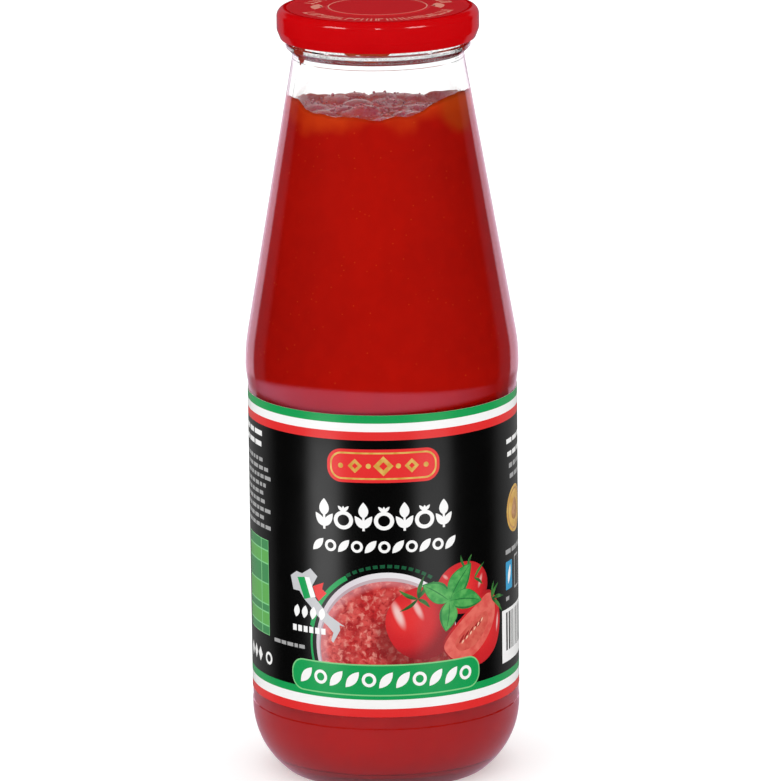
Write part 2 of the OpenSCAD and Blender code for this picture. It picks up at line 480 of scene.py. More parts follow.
def mottle_group():
    """Uneven colour in two sizes, as in passata, froth and lacquer."""
    if "Mottle" in bpy.data.node_groups:
        return bpy.data.node_groups["Mottle"]
    tree, given, out = new_group(
        "Mottle",
        [("Place", VECTOR, None), ("Colour", COLOUR, (1, 1, 1, 1)),
         ("Second Colour", COLOUR, (0, 0, 0, 1)), ("Coarse Scale", FLOAT, 40.0),
         ("Fine Scale", FLOAT, 400.0), ("Fine Share", FLOAT, 0.3), ("Amount", FLOAT, 0.5)],
        [("Colour", COLOUR), ("Height", FLOAT)])
    given = given.outputs
    coarse = rough_field(tree, given["Place"], given["Coarse Scale"], 4.0)
    fine = rough_field(tree, given["Place"], given["Fine Scale"], 3.0)
    soft = spread(tree, coarse, 0.3, 0.7)
    sharp = spread(tree, fine, 0.35, 0.65)
    mixed = add(tree, "ShaderNodeMix", {"Factor": given["Fine Share"], 2: soft, 3: sharp},
                data_type="FLOAT").outputs[0]
    share = maths(tree, "MULTIPLY", mixed, given["Amount"], clamp=True)
    tree.links.new(blend(tree, share, given["Colour"], given["Second Colour"]),
                   out.inputs["Colour"])
    tree.links.new(mixed, out.inputs["Height"])
    return tree


def mottled(tree, place, main, second, coarse, fine, share=0.3, amount=0.5):
    """The colour and the height that the mottle group gives for two colours and two sizes."""
    found = add(tree, "ShaderNodeGroup",
                {"Place": place, "Colour": main, "Second Colour": second,
                 "Coarse Scale": coarse, "Fine Scale": fine, "Fine Share": share,
                 "Amount": amount}, node_tree=mottle_group()).outputs
    return found["Colour"], found["Height"]


def print_group():
    """The grain of ink on coated paper: a little fading, fibres and uneven gloss."""
    if "Printed Paper" in bpy.data.node_groups:
        return bpy.data.node_groups["Printed Paper"]
    tree, given, out = new_group(
        "Printed Paper",
        [("Place", VECTOR, None), ("Ink", COLOUR, (1, 1, 1, 1)), ("Fading", FLOAT, 0.05),
         ("Gloss Roughness", FLOAT, 0.3)],
        [("Colour", COLOUR), ("Roughness", FLOAT), ("Height", FLOAT)])
    given = given.outputs
    fibres = rough_field(tree, given["Place"], 2.2, 4.0)
    cloud = rough_field(tree, given["Place"], 0.09, 2.0)
    pale = maths(tree, "MULTIPLY", spread(tree, fibres, 0.45, 0.75), given["Fading"])
    tree.links.new(blend(tree, pale, given["Ink"], (0.8, 0.78, 0.76, 1)),
                   out.inputs["Colour"])
    tree.links.new(maths(tree, "ADD", given["Gloss Roughness"],
                         scaled(tree, cloud, 0.12, -0.06)), out.inputs["Roughness"])
    tree.links.new(fibres, out.inputs["Height"])
    return tree


def round_group():
    """Distance from a centre on the printed sheet, 1 at the edge of a turned oval."""
    if "Oval Distance" in bpy.data.node_groups:
        return bpy.data.node_groups["Oval Distance"]
    tree, given, out = new_group(
        "Oval Distance",
        [("Place", VECTOR, None), ("Centre", VECTOR, (0, 0, 0)), ("Radii", VECTOR, (1, 1, 1)),
         ("Turn", FLOAT, 0.0)],
        [("Distance", FLOAT)])
    given = given.outputs
    apart = vectors(tree, "SUBTRACT", given["Place"], given["Centre"])
    turned = add(tree, "ShaderNodeVectorRotate", {"Vector": apart, "Angle": given["Turn"]},
                 rotation_type="Z_AXIS").outputs[0]
    share = vectors(tree, "DIVIDE", turned, given["Radii"])
    tree.links.new(vectors(tree, "LENGTH", share), out.inputs["Distance"])
    return tree


def new_material(name, on_sheet=False):
    """An empty material with its node tree, its output node and the place it is drawn by: the
    place in the object, or the place on the flat sheet in millimetres as (u, z, 0)."""
    material = bpy.data.materials.new(name)
    material.use_nodes = True
    tree = material.node_tree
    tree.nodes.clear()
    out = tree.nodes.new("ShaderNodeOutputMaterial")
    if on_sheet:
        place = add(tree, "ShaderNodeUVMap", uv_map="sheet").outputs["UV"]
    else:
        place = add(tree, "ShaderNodeTexCoord").outputs["Object"]
    return material, tree, out, place


def surface(tree, out, colour_in, roughness, gloss, height=None, depth=0.1):
    """Ends a material in a Principled BSDF, with a bump if a height is given."""
    shader = add(tree, "ShaderNodeBsdfPrincipled",
                 {"Base Color": colour_in, "Roughness": roughness,
                  "Specular IOR Level": gloss})
    if height is not None:
        bump = add(tree, "ShaderNodeBump",
                   {"Height": height, "Strength": 1.0, "Distance": depth * MM})
        tree.links.new(bump.outputs["Normal"], shader.inputs["Normal"])
    tree.links.new(shader.outputs["BSDF"], out.inputs["Surface"])


def glass_material():
    """Clear bottle glass that lets light through to what it holds."""
    material, tree, out, place = new_material("clear_glass")
    bump = add(tree, "ShaderNodeBump",
               {"Height": rough_field(tree, place, 60.0, 1.0), "Strength": 1.0,
                "Distance": 0.05 * MM})
    glass = add(tree, "ShaderNodeBsdfPrincipled",
                {"Base Color": (0.995, 0.997, 0.995, 1), "Roughness": 0.0, "IOR": 1.5,
                 "Transmission Weight": 1.0, "Normal": bump.outputs["Normal"]})
    clear = add(tree, "ShaderNodeBsdfTransparent", {"Color": (0.96, 0.965, 0.96, 1)})
    path = add(tree, "ShaderNodeLightPath")
    mixed = add(tree, "ShaderNodeMixShader",
                {0: path.outputs["Is Shadow Ray"], 1: glass.outputs[0], 2: clear.outputs[0]})
    tree.links.new(mixed.outputs[0], out.inputs["Surface"])
    return material


def passata_material():
    """Smooth sieved tomato, paler and more orange towards its surface."""
    look = bpy.context.scene.passata_fill
    material, tree, out, place = new_material("passata")
    tone, pulp = mottled(tree, place, look.deep, look.dark, 16.0, 260.0, 0.25, 0.8)
    height = add(tree, "ShaderNodeSeparateXYZ", {0: place}).outputs["Z"]
    uneven = rough_field(tree, place, 70.0, 3.0)
    level = maths(tree, "ADD", height, scaled(tree, uneven, 0.016, -0.008))
    tone = blend(tree, spread(tree, level, 0.1915, 0.199), tone, look.upper)
    apart = vectors(tree, "DISTANCE", place, (0.022, -0.010, 0.198))
    ragged = maths(tree, "ADD", apart, scaled(tree, uneven, 0.012, -0.006))
    filmed = spread(tree, ragged, 0.010, 0.005)
    tone = blend(tree, maths(tree, "MULTIPLY", filmed, 0.6), tone, look.film)
    fleck = spread(tree, cells(tree, place, 420.0), 0.12, 0.02)
    tone = blend(tree, maths(tree, "MULTIPLY", fleck, 0.35), tone, srgb(226, 110, 44))
    surface(tree, out, tone, 0.5, 0.02, pulp, 0.05)
    return material


# ---------------------------------------------------------------- glass

def thread_lift(s):
    """A function that gives how far the threads stand out of the finish."""
    count, reach, half_w, crest = 6, 1.5, 1.1, 0.44
    half_angle = math.radians(21)
    tilt = math.radians(3.2)
    climb = s.finish_r * math.sin(half_angle) * math.tan(tilt)
    middle = CAP_LOW.z + 0.15 + 0.9 + 0.25 + climb + half_w

    def lift(r, angle, z):
        if abs(r - s.finish_r) > 0.01 or not s.collar_top + 0.5 < z < s.bottle_h - 1.6:
            return 0.0
        best = 0.0
        for i in range(count):
            apart = around(angle - math.pi / 2, (i + 0.5) * 2 * math.pi / count)
            centre = middle + s.finish_r * math.sin(apart) * math.sin(tilt)
            side = (half_w - abs(z - centre)) / (half_w - crest)
            end = (half_angle - abs(apart)) / math.radians(2)
            best = max(best, reach * min(1, max(0, side)) * min(1, max(0, end)))
        return best
    return lift


def build_glass():
    """The bottle: a thick clear wall with threads and mould seams."""
    s = glass_sizes()
    threads = thread_lift(s)
    seams = [math.radians(100), math.radians(280)]
    outer = divided(rounded(outside(s), 4), 3.5)
    thread_zone = [(s.finish_r, s.collar_top + 0.4 + k * 0.3) for k in range(1, 24)]
    top = max(i for i, (r, z) in enumerate(outer)
              if abs(r - s.finish_r) < 1e-6 and z < s.collar_top + 0.5)
    after = next(i for i, (r, z) in enumerate(outer) if i > top and z > s.bottle_h - 1.6)
    outer = outer[:top + 1] + [p for p in thread_zone if p[1] < s.bottle_h - 1.6] + outer[after:]
    outer_count = len(outer)
    inner = divided(rounded(inside(s), 4), 6)
    section = outer[:-1] + inner[::-1][1:]
    angles = sorted(even_angles(SEGMENTS) +
                    [(seam + k * 0.006) % (2 * math.pi) for seam in seams
                     for k in (-2, -1, 0, 1, 2)])
    outer_radii = {(round(r, 4), round(z, 4)) for r, z in outer[:outer_count - 1]}

    def lift(r, angle, z):
        if (round(r, 4), round(z, 4)) not in outer_radii or r < s.foot_inner_r:
            return 0.0
        out = threads(r, angle, z)
        if 2.0 < z < s.neck_z:
            nearest = min(abs(around(angle, seam)) for seam in seams)
            out += s.seam_h * max(0.0, 1 - nearest / 0.012)
        return out

    verts, faces = lathe(section, angles, lift)
    make_piece("glass_body", verts, faces, [glass_material()], "clear_glass", ("bottle",),
               sharp=50)


# ---------------------------------------------------------------- passata

# How high the passata stands at the wall above its surface, as (angle in degrees, height).
CONTACT = ((-180, -0.5), (-165, -0.4), (-150, 0.8), (-135, 2.0), (-110, 3.9), (-90, 4.8),
           (-75, 5.8), (-65, 5.8), (-60, 4.7), (-56, 3.7), (-45, 2.9), (-30, 2.7), (-15, 2.8),
           (-8, 2.4), (0, 1.9), (10, 3.1), (20, 2.8), (30, 4.1), (38, 5.7), (45, 6.3), (55, 7.1),
           (65, 7.4), (80, 6.7), (90, 6.1), (110, 4.7), (135, 2.6), (150, 0.4), (165, -0.1),
           (180, -0.5))


def contact_height(angle, level):
    """Height at which the passata leaves the wall."""
    degrees = math.degrees(around(angle, 0))
    stand = float(np.interp(degrees, [a for a, _ in CONTACT], [h for _, h in CONTACT]))
    ripple = noise.noise(Vector((math.cos(angle) * 4.2, math.sin(angle) * 4.2, 4.0)))
    fine = noise.noise(Vector((math.cos(angle) * 11.0, math.sin(angle) * 11.0, 8.0)))
    return level + stand + 0.3 * ripple + 0.25 * fine


BUBBLES = (22.5, 74, 1.6, 5.2, 11)      # spread, number, smallest, largest and seed
BEAD_COUNT = 150
WALL_TOP = 188          # below the lowest point where the surface meets the wall


def bubble_field(radius, count, small, large, seed):
    """Centres, radii and heights of the bubbles that cover the surface."""
    draw = random.Random(seed)
    bubbles = []
    for i in range(count):
        r = radius * math.sqrt((i + 0.5) / count)
        angle = i * math.radians(137.5) + draw.uniform(-0.2, 0.2)
        size = small + (large - small) * draw.random() ** 1.6
        x, y, _ = on_ring(r, angle, 0)
        bubbles.append((x, y, size, size * draw.uniform(0.28, 0.5)))
    return bubbles


def surface_height(x, y, level, bubbles):
    """Height of the frothy surface: a low swell with domes standing in it."""
    swell = 0.5 * noise.noise(Vector((x * 0.09, y * 0.09, 1.5)))
    dome = 0.0
    for bx, by, size, rise in bubbles:
        away = ((x - bx) ** 2 + (y - by) ** 2) / (size * size)
        if away < 1:
            dome = max(dome, rise * math.sqrt(1 - away))
    return level + swell + dome


def froth_material():
    """Pink froth with orange veins between its bubbles. Its mauve tint is partly the foam's own
    colour and partly painted reflection of the pale room, and its pale specks are painted glints.
    """
    look = bpy.context.scene.passata_fill
    material, tree, out, place = new_material("froth")
    tone, rise = mottled(tree, place, look.froth, look.vein, 120.0, 700.0, 0.35, 1.0)
    height = add(tree, "ShaderNodeSeparateXYZ", {0: place}).outputs["Z"]
    low = spread(tree, height, look.level + 0.9 * MM, look.level)
    tone = blend(tree, low, tone, look.vein)
    # Pale specks: painted glints on the wet bubbles.
    painted_glint = spread(tree, cells(tree, place, 900.0), 0.14, 0.06)
    tone = blend(tree, maths(tree, "MULTIPLY", painted_glint, 0.8), tone, srgb(240, 190, 186))
    surface(tree, out, tone, 0.22, 0.1, rise, 0.12)
    return material


def build_passata():
    """The passata: it fills the glass and reaches just into the wall, and froth tops it."""
    s = glass_sizes()
    fill = values_in_mm(bpy.context.scene.passata_fill)
    angles = even_angles(FILL_SEGMENTS)
    wall = [p for p in divided(rounded(inside(s, -fill.overlap), 5), 8) if p[1] < WALL_TOP]
    bubbles = bubble_field(*BUBBLES)
    wall_rows, top_rows = 8, 56
    verts = [(0, 0, wall[0][1])]
    for r, z in wall[1:]:
        verts += [on_ring(r, angle, z) for angle in angles]
    heights = np.array([contact_height(angle, fill.level) for angle in angles])
    heights = (np.roll(heights, 1) + 2 * heights + np.roll(heights, -1)) / 4
    for k in range(1, wall_rows + 1):
        for angle, top in zip(angles, heights):
            z = wall[-1][1] + (top - wall[-1][1]) * k / wall_rows
            verts.append(on_ring(inner_radius(s, z) + fill.overlap, angle, z))
    for k in range(1, top_rows):
        for angle, top in zip(angles, heights):
            edge = inner_radius(s, top) + fill.overlap
            r = edge * (1 - k / top_rows)
            x, y, _ = on_ring(r, angle, 0)
            free = smoothstep(0.1, 2.2, edge - r)
            level = surface_height(x, y, fill.level, bubbles)
            verts.append((x, y, top + (level - top) * free))
    verts.append((0, 0, surface_height(0, 0, fill.level, bubbles)))
    count = len(angles)
    froth_from = len(wall) - 1 + wall_rows
    rings = froth_from + top_rows - 1
    faces = closed_faces(rings, count)
    red_faces = (froth_from + 1) * count
    inks = [0 if i < red_faces else 1 for i in range(len(faces))]
    make_piece("passata_fill", verts, faces, [passata_material(), froth_material()], "tomato",
               ("passata",), sharp=0, inks=inks)


def ball(centre, radius, rows=6, columns=10):
    """Vertices and faces of a small ball."""
    verts = [(centre[0], centre[1], centre[2] - radius)]
    for i in range(1, rows):
        polar = math.pi * i / rows - math.pi / 2
        for j in range(columns):
            angle = 2 * math.pi * j / columns
            verts.append((centre[0] + radius * math.cos(polar) * math.cos(angle),
                          centre[1] + radius * math.cos(polar) * math.sin(angle),
                          centre[2] + radius * math.sin(polar)))
    verts.append((centre[0], centre[1], centre[2] + radius))
    return verts, closed_faces(rows - 1, columns)


def joined(parts):
    """Several (vertices, faces) as one."""
    verts, faces = [], []
    for more_verts, more_faces in parts:
        start = len(verts)
        verts += more_verts
        faces += [tuple(start + i for i in face) for face in more_faces]
    return verts, faces


def bead_material():
    """Small pale bubbles."""
    look = bpy.context.scene.passata_fill
    material, tree, out, place = new_material("bubble_beads")
    tone, _ = mottled(tree, place, srgb(224, 150, 158), look.froth, 300.0, 900.0, amount=0.9)
    surface(tree, out, tone, 0.1, 0.25)
    return material


def build_beads():
    """Small bubbles that gather in the froth and along the wall."""
    s = glass_sizes()
    fill = values_in_mm(bpy.context.scene.passata_fill)
    bubbles = bubble_field(*BUBBLES)
    draw = random.Random(29)
    parts = []
    for _ in range(BEAD_COUNT):
        angle = draw.uniform(-math.pi, math.pi)
        edge = inner_radius(s, fill.level) - 1.2
        r = edge * (1 - 0.9 * draw.random() ** 2)
        x, y, _ = on_ring(r, angle, 0)
        size = draw.uniform(0.18, 0.55)
        z = surface_height(x, y, fill.level, bubbles) + size * 0.3
        parts.append(ball((x, y, z), size))
    verts, faces = joined(parts)
    make_piece("froth_beads", verts, faces, [bead_material()], "tomato", sharp=0)


def smear_material():
    """A thin orange film of passata on the glass."""
    look = bpy.context.scene.passata_fill
    material, tree, out, place = new_material("smear")
    tone, rise = mottled(tree, place, look.film, look.deep, 110.0, 500.0, amount=0.75)
    surface(tree, out, tone, 0.35, 0.2, rise, 0.1)
    return material


def smear_patch(s, middle, width, low, high, seed, steps=48, rows=14):
    """A thin patch on the inside of the wall, pointed at its ends and uneven at its top."""
    outer, inner = [], []
    for k in range(rows + 1):
        for i in range(steps + 1):
            t = i / steps
            angle = math.radians(middle + width * (t - 0.5))
            body = math.sin(math.pi * t) ** 0.45
            wave = 0.25 * noise.noise(Vector((t * 7 + seed, seed, 0.3)))
            top = low + (high - low) * body * (0.85 + wave)
            z = low + (top - low) * k / rows
            r = inner_radius(s, z)
            skin = 0.28 * math.sin(math.pi * min(1, max(0, t))) ** 0.5
            skin *= math.sqrt(max(0.0, 1 - (k / rows) ** 4))
            outer.append(on_ring(r + 0.05, angle, z))
            inner.append(on_ring(r - skin, angle, z))
    verts = outer + inner
    half = len(outer)
    row = steps + 1
    faces = []
    for k in range(rows):
        for i in range(steps):
            a = k * row + i
            faces.append((a, a + 1, a + row + 1, a + row))
            faces.append((half + a, half + a + row, half + a + row + 1, half + a + 1))
    rim = ([(i, i + 1) for i in range(steps)] +
           [(k * row + steps, (k + 1) * row + steps) for k in range(rows)] +
           [(rows * row + i + 1, rows * row + i) for i in reversed(range(steps))] +
           [((k + 1) * row, k * row) for k in reversed(range(rows))])
    for a, b in rim:
        faces.append((b, a, half + a, half + b))
    return verts, faces


def build_smears():
    """Films of passata left on the wall above the surface."""
    s = glass_sizes()
    fill = values_in_mm(bpy.context.scene.passata_fill)
    patches = [
        smear_patch(s, -68, 17, fill.level + 23.0, fill.level + 14.6, 4.0, 20, 8),
        smear_patch(s, 80, 16, fill.level + 22.0, fill.level + 17.0, 7.0, 16, 8),
        smear_patch(s, -8, 46, fill.level + 23.0, fill.level + 19.4, 9.0, 30, 6)]
    verts, faces = joined(patches)
    make_piece("wall_smears", verts, faces, [smear_material()], "tomato", sharp=0)


# ---------------------------------------------------------------- cap

def cap_sizes():
    """Radii and heights of the cap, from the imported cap's box."""
    c = SimpleNamespace()
    c.r = (CAP_HIGH.x - CAP_LOW.x) / 2
    c.top = CAP_HIGH.z
    c.low = CAP_LOW.z
    c.t = 0.24
    c.draw = 1.1
    c.curl = 1.4
    c.panel_r = c.r - 3.3
    c.panel = c.top - 0.3
    c.button_r = 14.5
    c.button = c.panel + 0.22
    c.edge_r = c.r - c.draw
    c.curl_r = c.edge_r - c.curl
    return c


def lacquer_material(name, main, second, roughness, gloss=0.5):
    """Glossy lacquer on tinplate."""
    material, tree, out, place = new_material(name)
    tone, grain = mottled(tree, place, main, second, 90.0, 1400.0, 0.4, 0.35)
    surface(tree, out, tone, roughness, gloss, grain, 0.004)
    return material


def lug(c, middle):
    """One of the small tongues that the skirt's edge is pressed in to."""
    half, columns = math.radians(6.5), 8
    reach, back = 26.3, c.curl_r + c.curl / 3
    low, high = c.low + 0.15, c.low + 1.05
    verts = []
    for i in range(columns + 1):
        angle = middle + half * (2 * i / columns - 1)
        for r, z in ((reach, low), (back, low), (back, high), (reach, high)):
            verts.append(on_ring(r, angle, z))
    faces = [(3, 2, 1, 0), tuple(4 * columns + k for k in range(4))]
    for i in range(columns):
        for k in range(4):
            a, b = 4 * i + k, 4 * i + (k + 1) % 4
            faces.append((a, b, b + 4, a + 4))
    return verts, faces


def build_cap():
    """The pressed twist-off cap: crown, sunk panel, button, skirt, curled edge and lugs."""
    look = bpy.context.scene.passata_cap
    c = cap_sizes()
    press = 0.5
    path = [
        (0, c.button + 0.06, 0),
        (c.button_r * 0.6, c.button + 0.03, 40),
        (c.button_r, c.button, 0.6),
        (c.button_r + press, c.panel, 0.6),
        (c.panel_r - press, c.panel, 0.25),
        (c.panel_r + press, c.top, 0.25),
        (c.r, c.top, 2.4),
        (c.r, c.low + 2.8, 2),
        (c.edge_r, c.low, c.curl * 0.45),
        (c.curl_r, c.low, c.curl * 0.45),
        (c.curl_r, c.low + c.curl, c.curl * 0.2),
        (c.r - c.t, c.low + 2.8, 0),
        (c.r - c.t, c.top - c.t, 2.4 - c.t),
        (c.panel_r + press, c.top - c.t, 0),
        (c.panel_r - press, c.panel - c.t, 0),
        (c.button_r + press, c.panel - c.t, 0),
        (c.button_r, c.button - c.t, 0),
        (0, c.button - c.t, 0)]
    section = divided(rounded(path, 8), 2.5)
    shell = lathe(section, even_angles(CAP_SEGMENTS))
    lugs = [lug(c, math.radians(90 + 60 * i)) for i in range(6)]
    verts, faces = joined([shell] + lugs)
    inks = []
    for face in faces:
        x, y, z = (sum(verts[i][axis] for i in face) / len(face) for axis in range(3))
        inks.append(1 if math.hypot(x, y) < c.panel_r + 0.3 and z > c.panel - 0.05 else 0)
    red = lacquer_material("cap_lacquer", look.lacquer, srgb(190, 0, 5), 0.11)
    # The sunk panel takes a paler, pinker copy of the lacquer: painted sheen of the light from above.
    sunk = lacquer_material("cap_panel_lacquer", look.panel, srgb(190, 26, 34), 0.35, 0.15)
    make_piece("cap_shell", verts, faces, [red, sunk], "red_tinplate", ("cap",), sharp=50,
               inks=inks)


def slab(outline, low, high):
    """A thin solid over a flat convex outline of (x, y) points."""
    count = len(outline)
    verts = [(x, y, low) for x, y in outline] + [(x, y, high) for x, y in outline]
    faces = [tuple(reversed(range(count))), tuple(range(count, 2 * count))]
    for i in range(count):
        j = (i + 1) % count
        faces.append((i, j, count + j, count + i))
    return verts, faces


def arc_strip(inner, outer, first, last, low, high, step=2.0):
    """A thin curved bar between two radii and two angles in degrees."""
    pieces = max(1, math.ceil(abs(last - first) / step))
    strip = []
    for i in range(pieces):
        a = math.radians(first + (last - first) * i / pieces)
        b = math.radians(first + (last - first) * (i + 1) / pieces)
        corners = [on_ring(inner, a, 0), on_ring(outer, a, 0), on_ring(outer, b, 0),
                   on_ring(inner, b, 0)]
        strip.append(slab([(x, y) for x, y, _ in corners], low, high))
    return joined(strip)


def build_cap_print():
    """Pale gold print on the cap: a circle, two plain leaf marks and a ring of ticks."""
    look = bpy.context.scene.passata_cap
    c = cap_sizes()
    skin = 0.02
    top = c.button + skin
    parts = [arc_strip(13.95, 14.3, 0, 360, c.button - 0.05, top)]
    low, high = c.panel - 0.03, c.panel + skin
    draw = random.Random(5)
    angle = 0.0
    while angle < 355:
        wide = draw.uniform(3.2, 5.4)
        if not (70 < angle < 106 or 250 < angle < 286):
            inner = 19.0 + draw.uniform(0, 0.3)
            outer = 22.4 + draw.uniform(0, 0.4)
            parts.append(arc_strip(inner, outer, angle, angle + 1.3, low, high))
            bars = ((inner, outer, wide - 1.3), (outer - 0.9, outer, 1.4),
                    (inner, inner + 0.9, 1.4))
            near, far, start = bars[draw.randrange(3)]
            parts.append(arc_strip(near, far, angle + start, angle + wide, low, high))
        angle += wide + draw.uniform(1.6, 2.4)
    for side in (-1, 1):
        mark = leaf((18.0, -2.6), (17.0, 5.6), 3.4, 0.0, 1.1, 12)
        mark = [(side * x, y) for x, y in mark]
        parts.append(slab(anticlockwise(mark), low, high))
        tip = [(side * 16.5, 0.4), (side * 15.1, 1.2), (side * 16.5, 2.0)]
        parts.append(slab(anticlockwise(tip), low, high))
    verts, faces = joined(parts)
    gilt = lacquer_material("cap_gilt", look.gilt, srgb(216, 124, 106), 0.35, 0.15)
    make_piece("cap_print", verts, faces, [gilt], "red_tinplate", smooth=False)


# ---------------------------------------------------------------- label drawing
# The print is drawn flat, in millimetres: u runs round the bottle from the middle of the
# front and grows to the right, and z is the height above the table.

def oval(cu, cz, ru, rz=None, steps=48, turn=0.0):
    """An oval about (cu, cz)."""
    rz = ru if rz is None else rz
    turn = math.radians(turn)
    points = []
    for k in range(steps):
        a = 2 * math.pi * k / steps
        x, y = ru * math.cos(a), rz * math.sin(a)
        points.append((cu + x * math.cos(turn) - y * math.sin(turn),
                       cz + x * math.sin(turn) + y * math.cos(turn)))
    return points


def arc_band(cu, cz, inner, outer, first, last, steps=40):
    """A band between two arcs, from angle first to last in degrees, 0 to the right."""
    angles = [math.radians(first + (last - first) * k / steps) for k in range(steps + 1)]
    return ([(cu + outer * math.cos(a), cz + outer * math.sin(a)) for a in angles] +
            [(cu + inner * math.cos(a), cz + inner * math.sin(a)) for a in reversed(angles)])


def lozenge(u, z, wide, tall=None):
    """An upright lozenge of half-width wide and half-height tall about (u, z)."""
    tall = wide if tall is None else tall
    return [(u - wide, z), (u, z - tall), (u + wide, z), (u, z + tall)]


def ring_mark(ink, middle, u, z, outer, inner):
    """A small ring with a middle of another ink."""
    return [(ink, oval(u, z, outer, outer, 24)), (middle, oval(u, z, inner, inner, 18))]


def bar(u0, u1, z0, z1):
    """An upright rectangle."""
    return [(u0, z0), (u1, z0), (u1, z1), (u0, z1)]


def plate(u0, u1, z0, z1, radius, steps=8):
    """A rectangle with round corners."""
    points = []
    corners = ((u1 - radius, z0 + radius, -90), (u1 - radius, z1 - radius, 0),
               (u0 + radius, z1 - radius, 90), (u0 + radius, z0 + radius, 180))
    for cu, cz, first in corners:
        for k in range(steps + 1):
            a = math.radians(first + 90 * k / steps)
            points.append((cu + radius * math.cos(a), cz + radius * math.sin(a)))
    return points


def leaf(base, tip, width, bow=0.0, full=0.8, steps=14):
    """A leaf from base to tip. bow curves its middle sideways, and full sets its belly."""
    b, t = Vector(base), Vector(tip)
    along = t - b
    across = Vector((-along.y, along.x)).normalized()
    left, right = [], []
    for k in range(steps + 1):
        s = k / steps
        middle = b + along * s + across * bow * math.sin(math.pi * s)
        half = width / 2 * math.sin(math.pi * s ** full) ** 0.85
        left.append(tuple(middle + across * half))
        right.append(tuple(middle - across * half))
    return right + left[-2:0:-1]


def closed_curve(points, steps=6):
    """A smooth closed outline through a few points."""
    count = len(points)
    outline = []
    for i in range(count):
        p0, p1, p2, p3 = (Vector(points[(i + k) % count]) for k in (-1, 0, 1, 2))
        for k in range(steps):
            t = k / steps
            outline.append(tuple(0.5 * (2 * p1 + (p2 - p0) * t +
                                        (2 * p0 - 5 * p1 + 4 * p2 - p3) * t * t +
                                        (3 * p1 - p0 - 3 * p2 + p3) * t ** 3)))
    return outline


def words(ink, u0, u1, z, height, draw, least=1.6, most=5.0, gap=0.8):
    """A row of plain bars in place of small print."""
    shapes = []
    u = u0
    while u < u1 - least:
        end = min(u1, u + draw.uniform(least, most))
        shapes.append((ink, bar(u, end, z, z + height)))
        u = end + gap
    return shapes


def fruit_motif(ink, ground, u, z, size):
    """A plain ring with a small crown of leaves."""
    shapes = [(ink, oval(u, z, size * 0.5, size * 0.47, 28)),
              (ground, oval(u, z, size * 0.30, size * 0.28, 24))]
    for lean in (-0.28, 0.0, 0.28):
        shapes.append((ink, leaf((u, z + size * 0.42), (u + lean * size, z + size * 0.72),
                                 size * 0.16, 0, 1.0, 5)))
    return shapes


def sprig_motif(ink, u, z, height, lean=0.0):
    """A stem with a pair of leaves and one at its end."""
    reach = height * 0.30
    shapes = [(ink, bar(u - 0.35, u + 0.35, z, z + height * 0.55))]
    shapes.append((ink, leaf((u, z + height * 0.45), (u + lean, z + height), height * 0.34)))
    for side in (-1, 1):
        shapes.append((ink, leaf((u, z + height * 0.10),
                                 (u + side * reach, z + height * 0.52), height * 0.24)))
    return shapes


def stripes(left, right, low, high):
    """The three-coloured stripes along both edges."""
    return [("white", bar(left, right, high - 4.8, high)),
            ("white", bar(left, right, low, low + 5.2)),
            ("green", bar(left, right, high - 2.35, high)),
            ("red", bar(left, right, high - 7.3, high - 4.8)),
            ("green", bar(left, right, low + 5.2, low + 7.4)),
            ("red", bar(left, right, low, low + 2.5))]


def crest():
    """A plain red plaque with a gold keyline and three gold lozenges."""
    shapes = [("red", plate(-16.5, 16.5, 93.6, 103.4, 4.2)),
              ("gold", plate(-15.6, 15.6, 94.5, 102.5, 3.4)),
              ("red", plate(-15.1, 15.1, 95.0, 102.0, 3.0))]
    for u, size in ((-8.2, 2.1), (0.0, 2.9), (8.2, 2.1)):
        shapes.append(("gold", lozenge(u, 98.5, size)))
        shapes.append(("red", lozenge(u, 98.5, size * 0.42)))
    for u in (-12.4, -4.3, 4.3, 12.4):
        shapes.append(("gold", oval(u, 98.5, 0.75, 0.75, 16)))
    return shapes


def heading():
    """Two rows of plain white motifs."""
    shapes = []
    pitch = 5.9
    for i in range(7):
        u = (i - 3) * pitch
        if i % 2 == 0:
            shapes += sprig_motif("white", u, 79.4, 8.4 if i else 9.0)
        else:
            shapes += fruit_motif("white", "ground", u, 82.4, 5.8)
    for i in range(11):
        u = (i - 5) * 3.95
        if i % 2 == 0:
            shapes.append(("white", leaf((u - 1.7, 72.9), (u + 1.7, 76.6), 2.2, 0, 1.0, 8)))
        else:
            shapes += ring_mark("white", "ground", u, 74.7, 1.75, 0.95)
    return shapes


def cut_below(outline, z):
    """The outline with its part below z pushed up to it."""
    return [(u, max(z, v)) for u, v in outline]


def bowl():
    """The bowl of passata behind the fruit, and the green arc round it."""
    cu, cz = 0.5, 45.3
    shapes = [("green", arc_band(cu, cz, 22.6, 23.3, 168, 196)),
              ("green", arc_band(cu, cz, 22.5, 23.9, 120, 168))]
    for first in range(56, 118, 5):
        shapes.append(("deep_green", arc_band(cu, cz, 23.2, 24.2, first, first + 3.4, 3)))
    shapes += [("rim", cut_below(oval(cu, cz, 21.3, 21.9, 96), 33.0)),
               ("rim_shade", cut_below(oval(cu + 0.1, cz - 0.5, 20.4, 20.8, 96), 33.5)),
               ("pulp", cut_below(oval(cu + 0.1, cz - 0.9, 20.0, 20.2, 96), 34.0))]
    return shapes


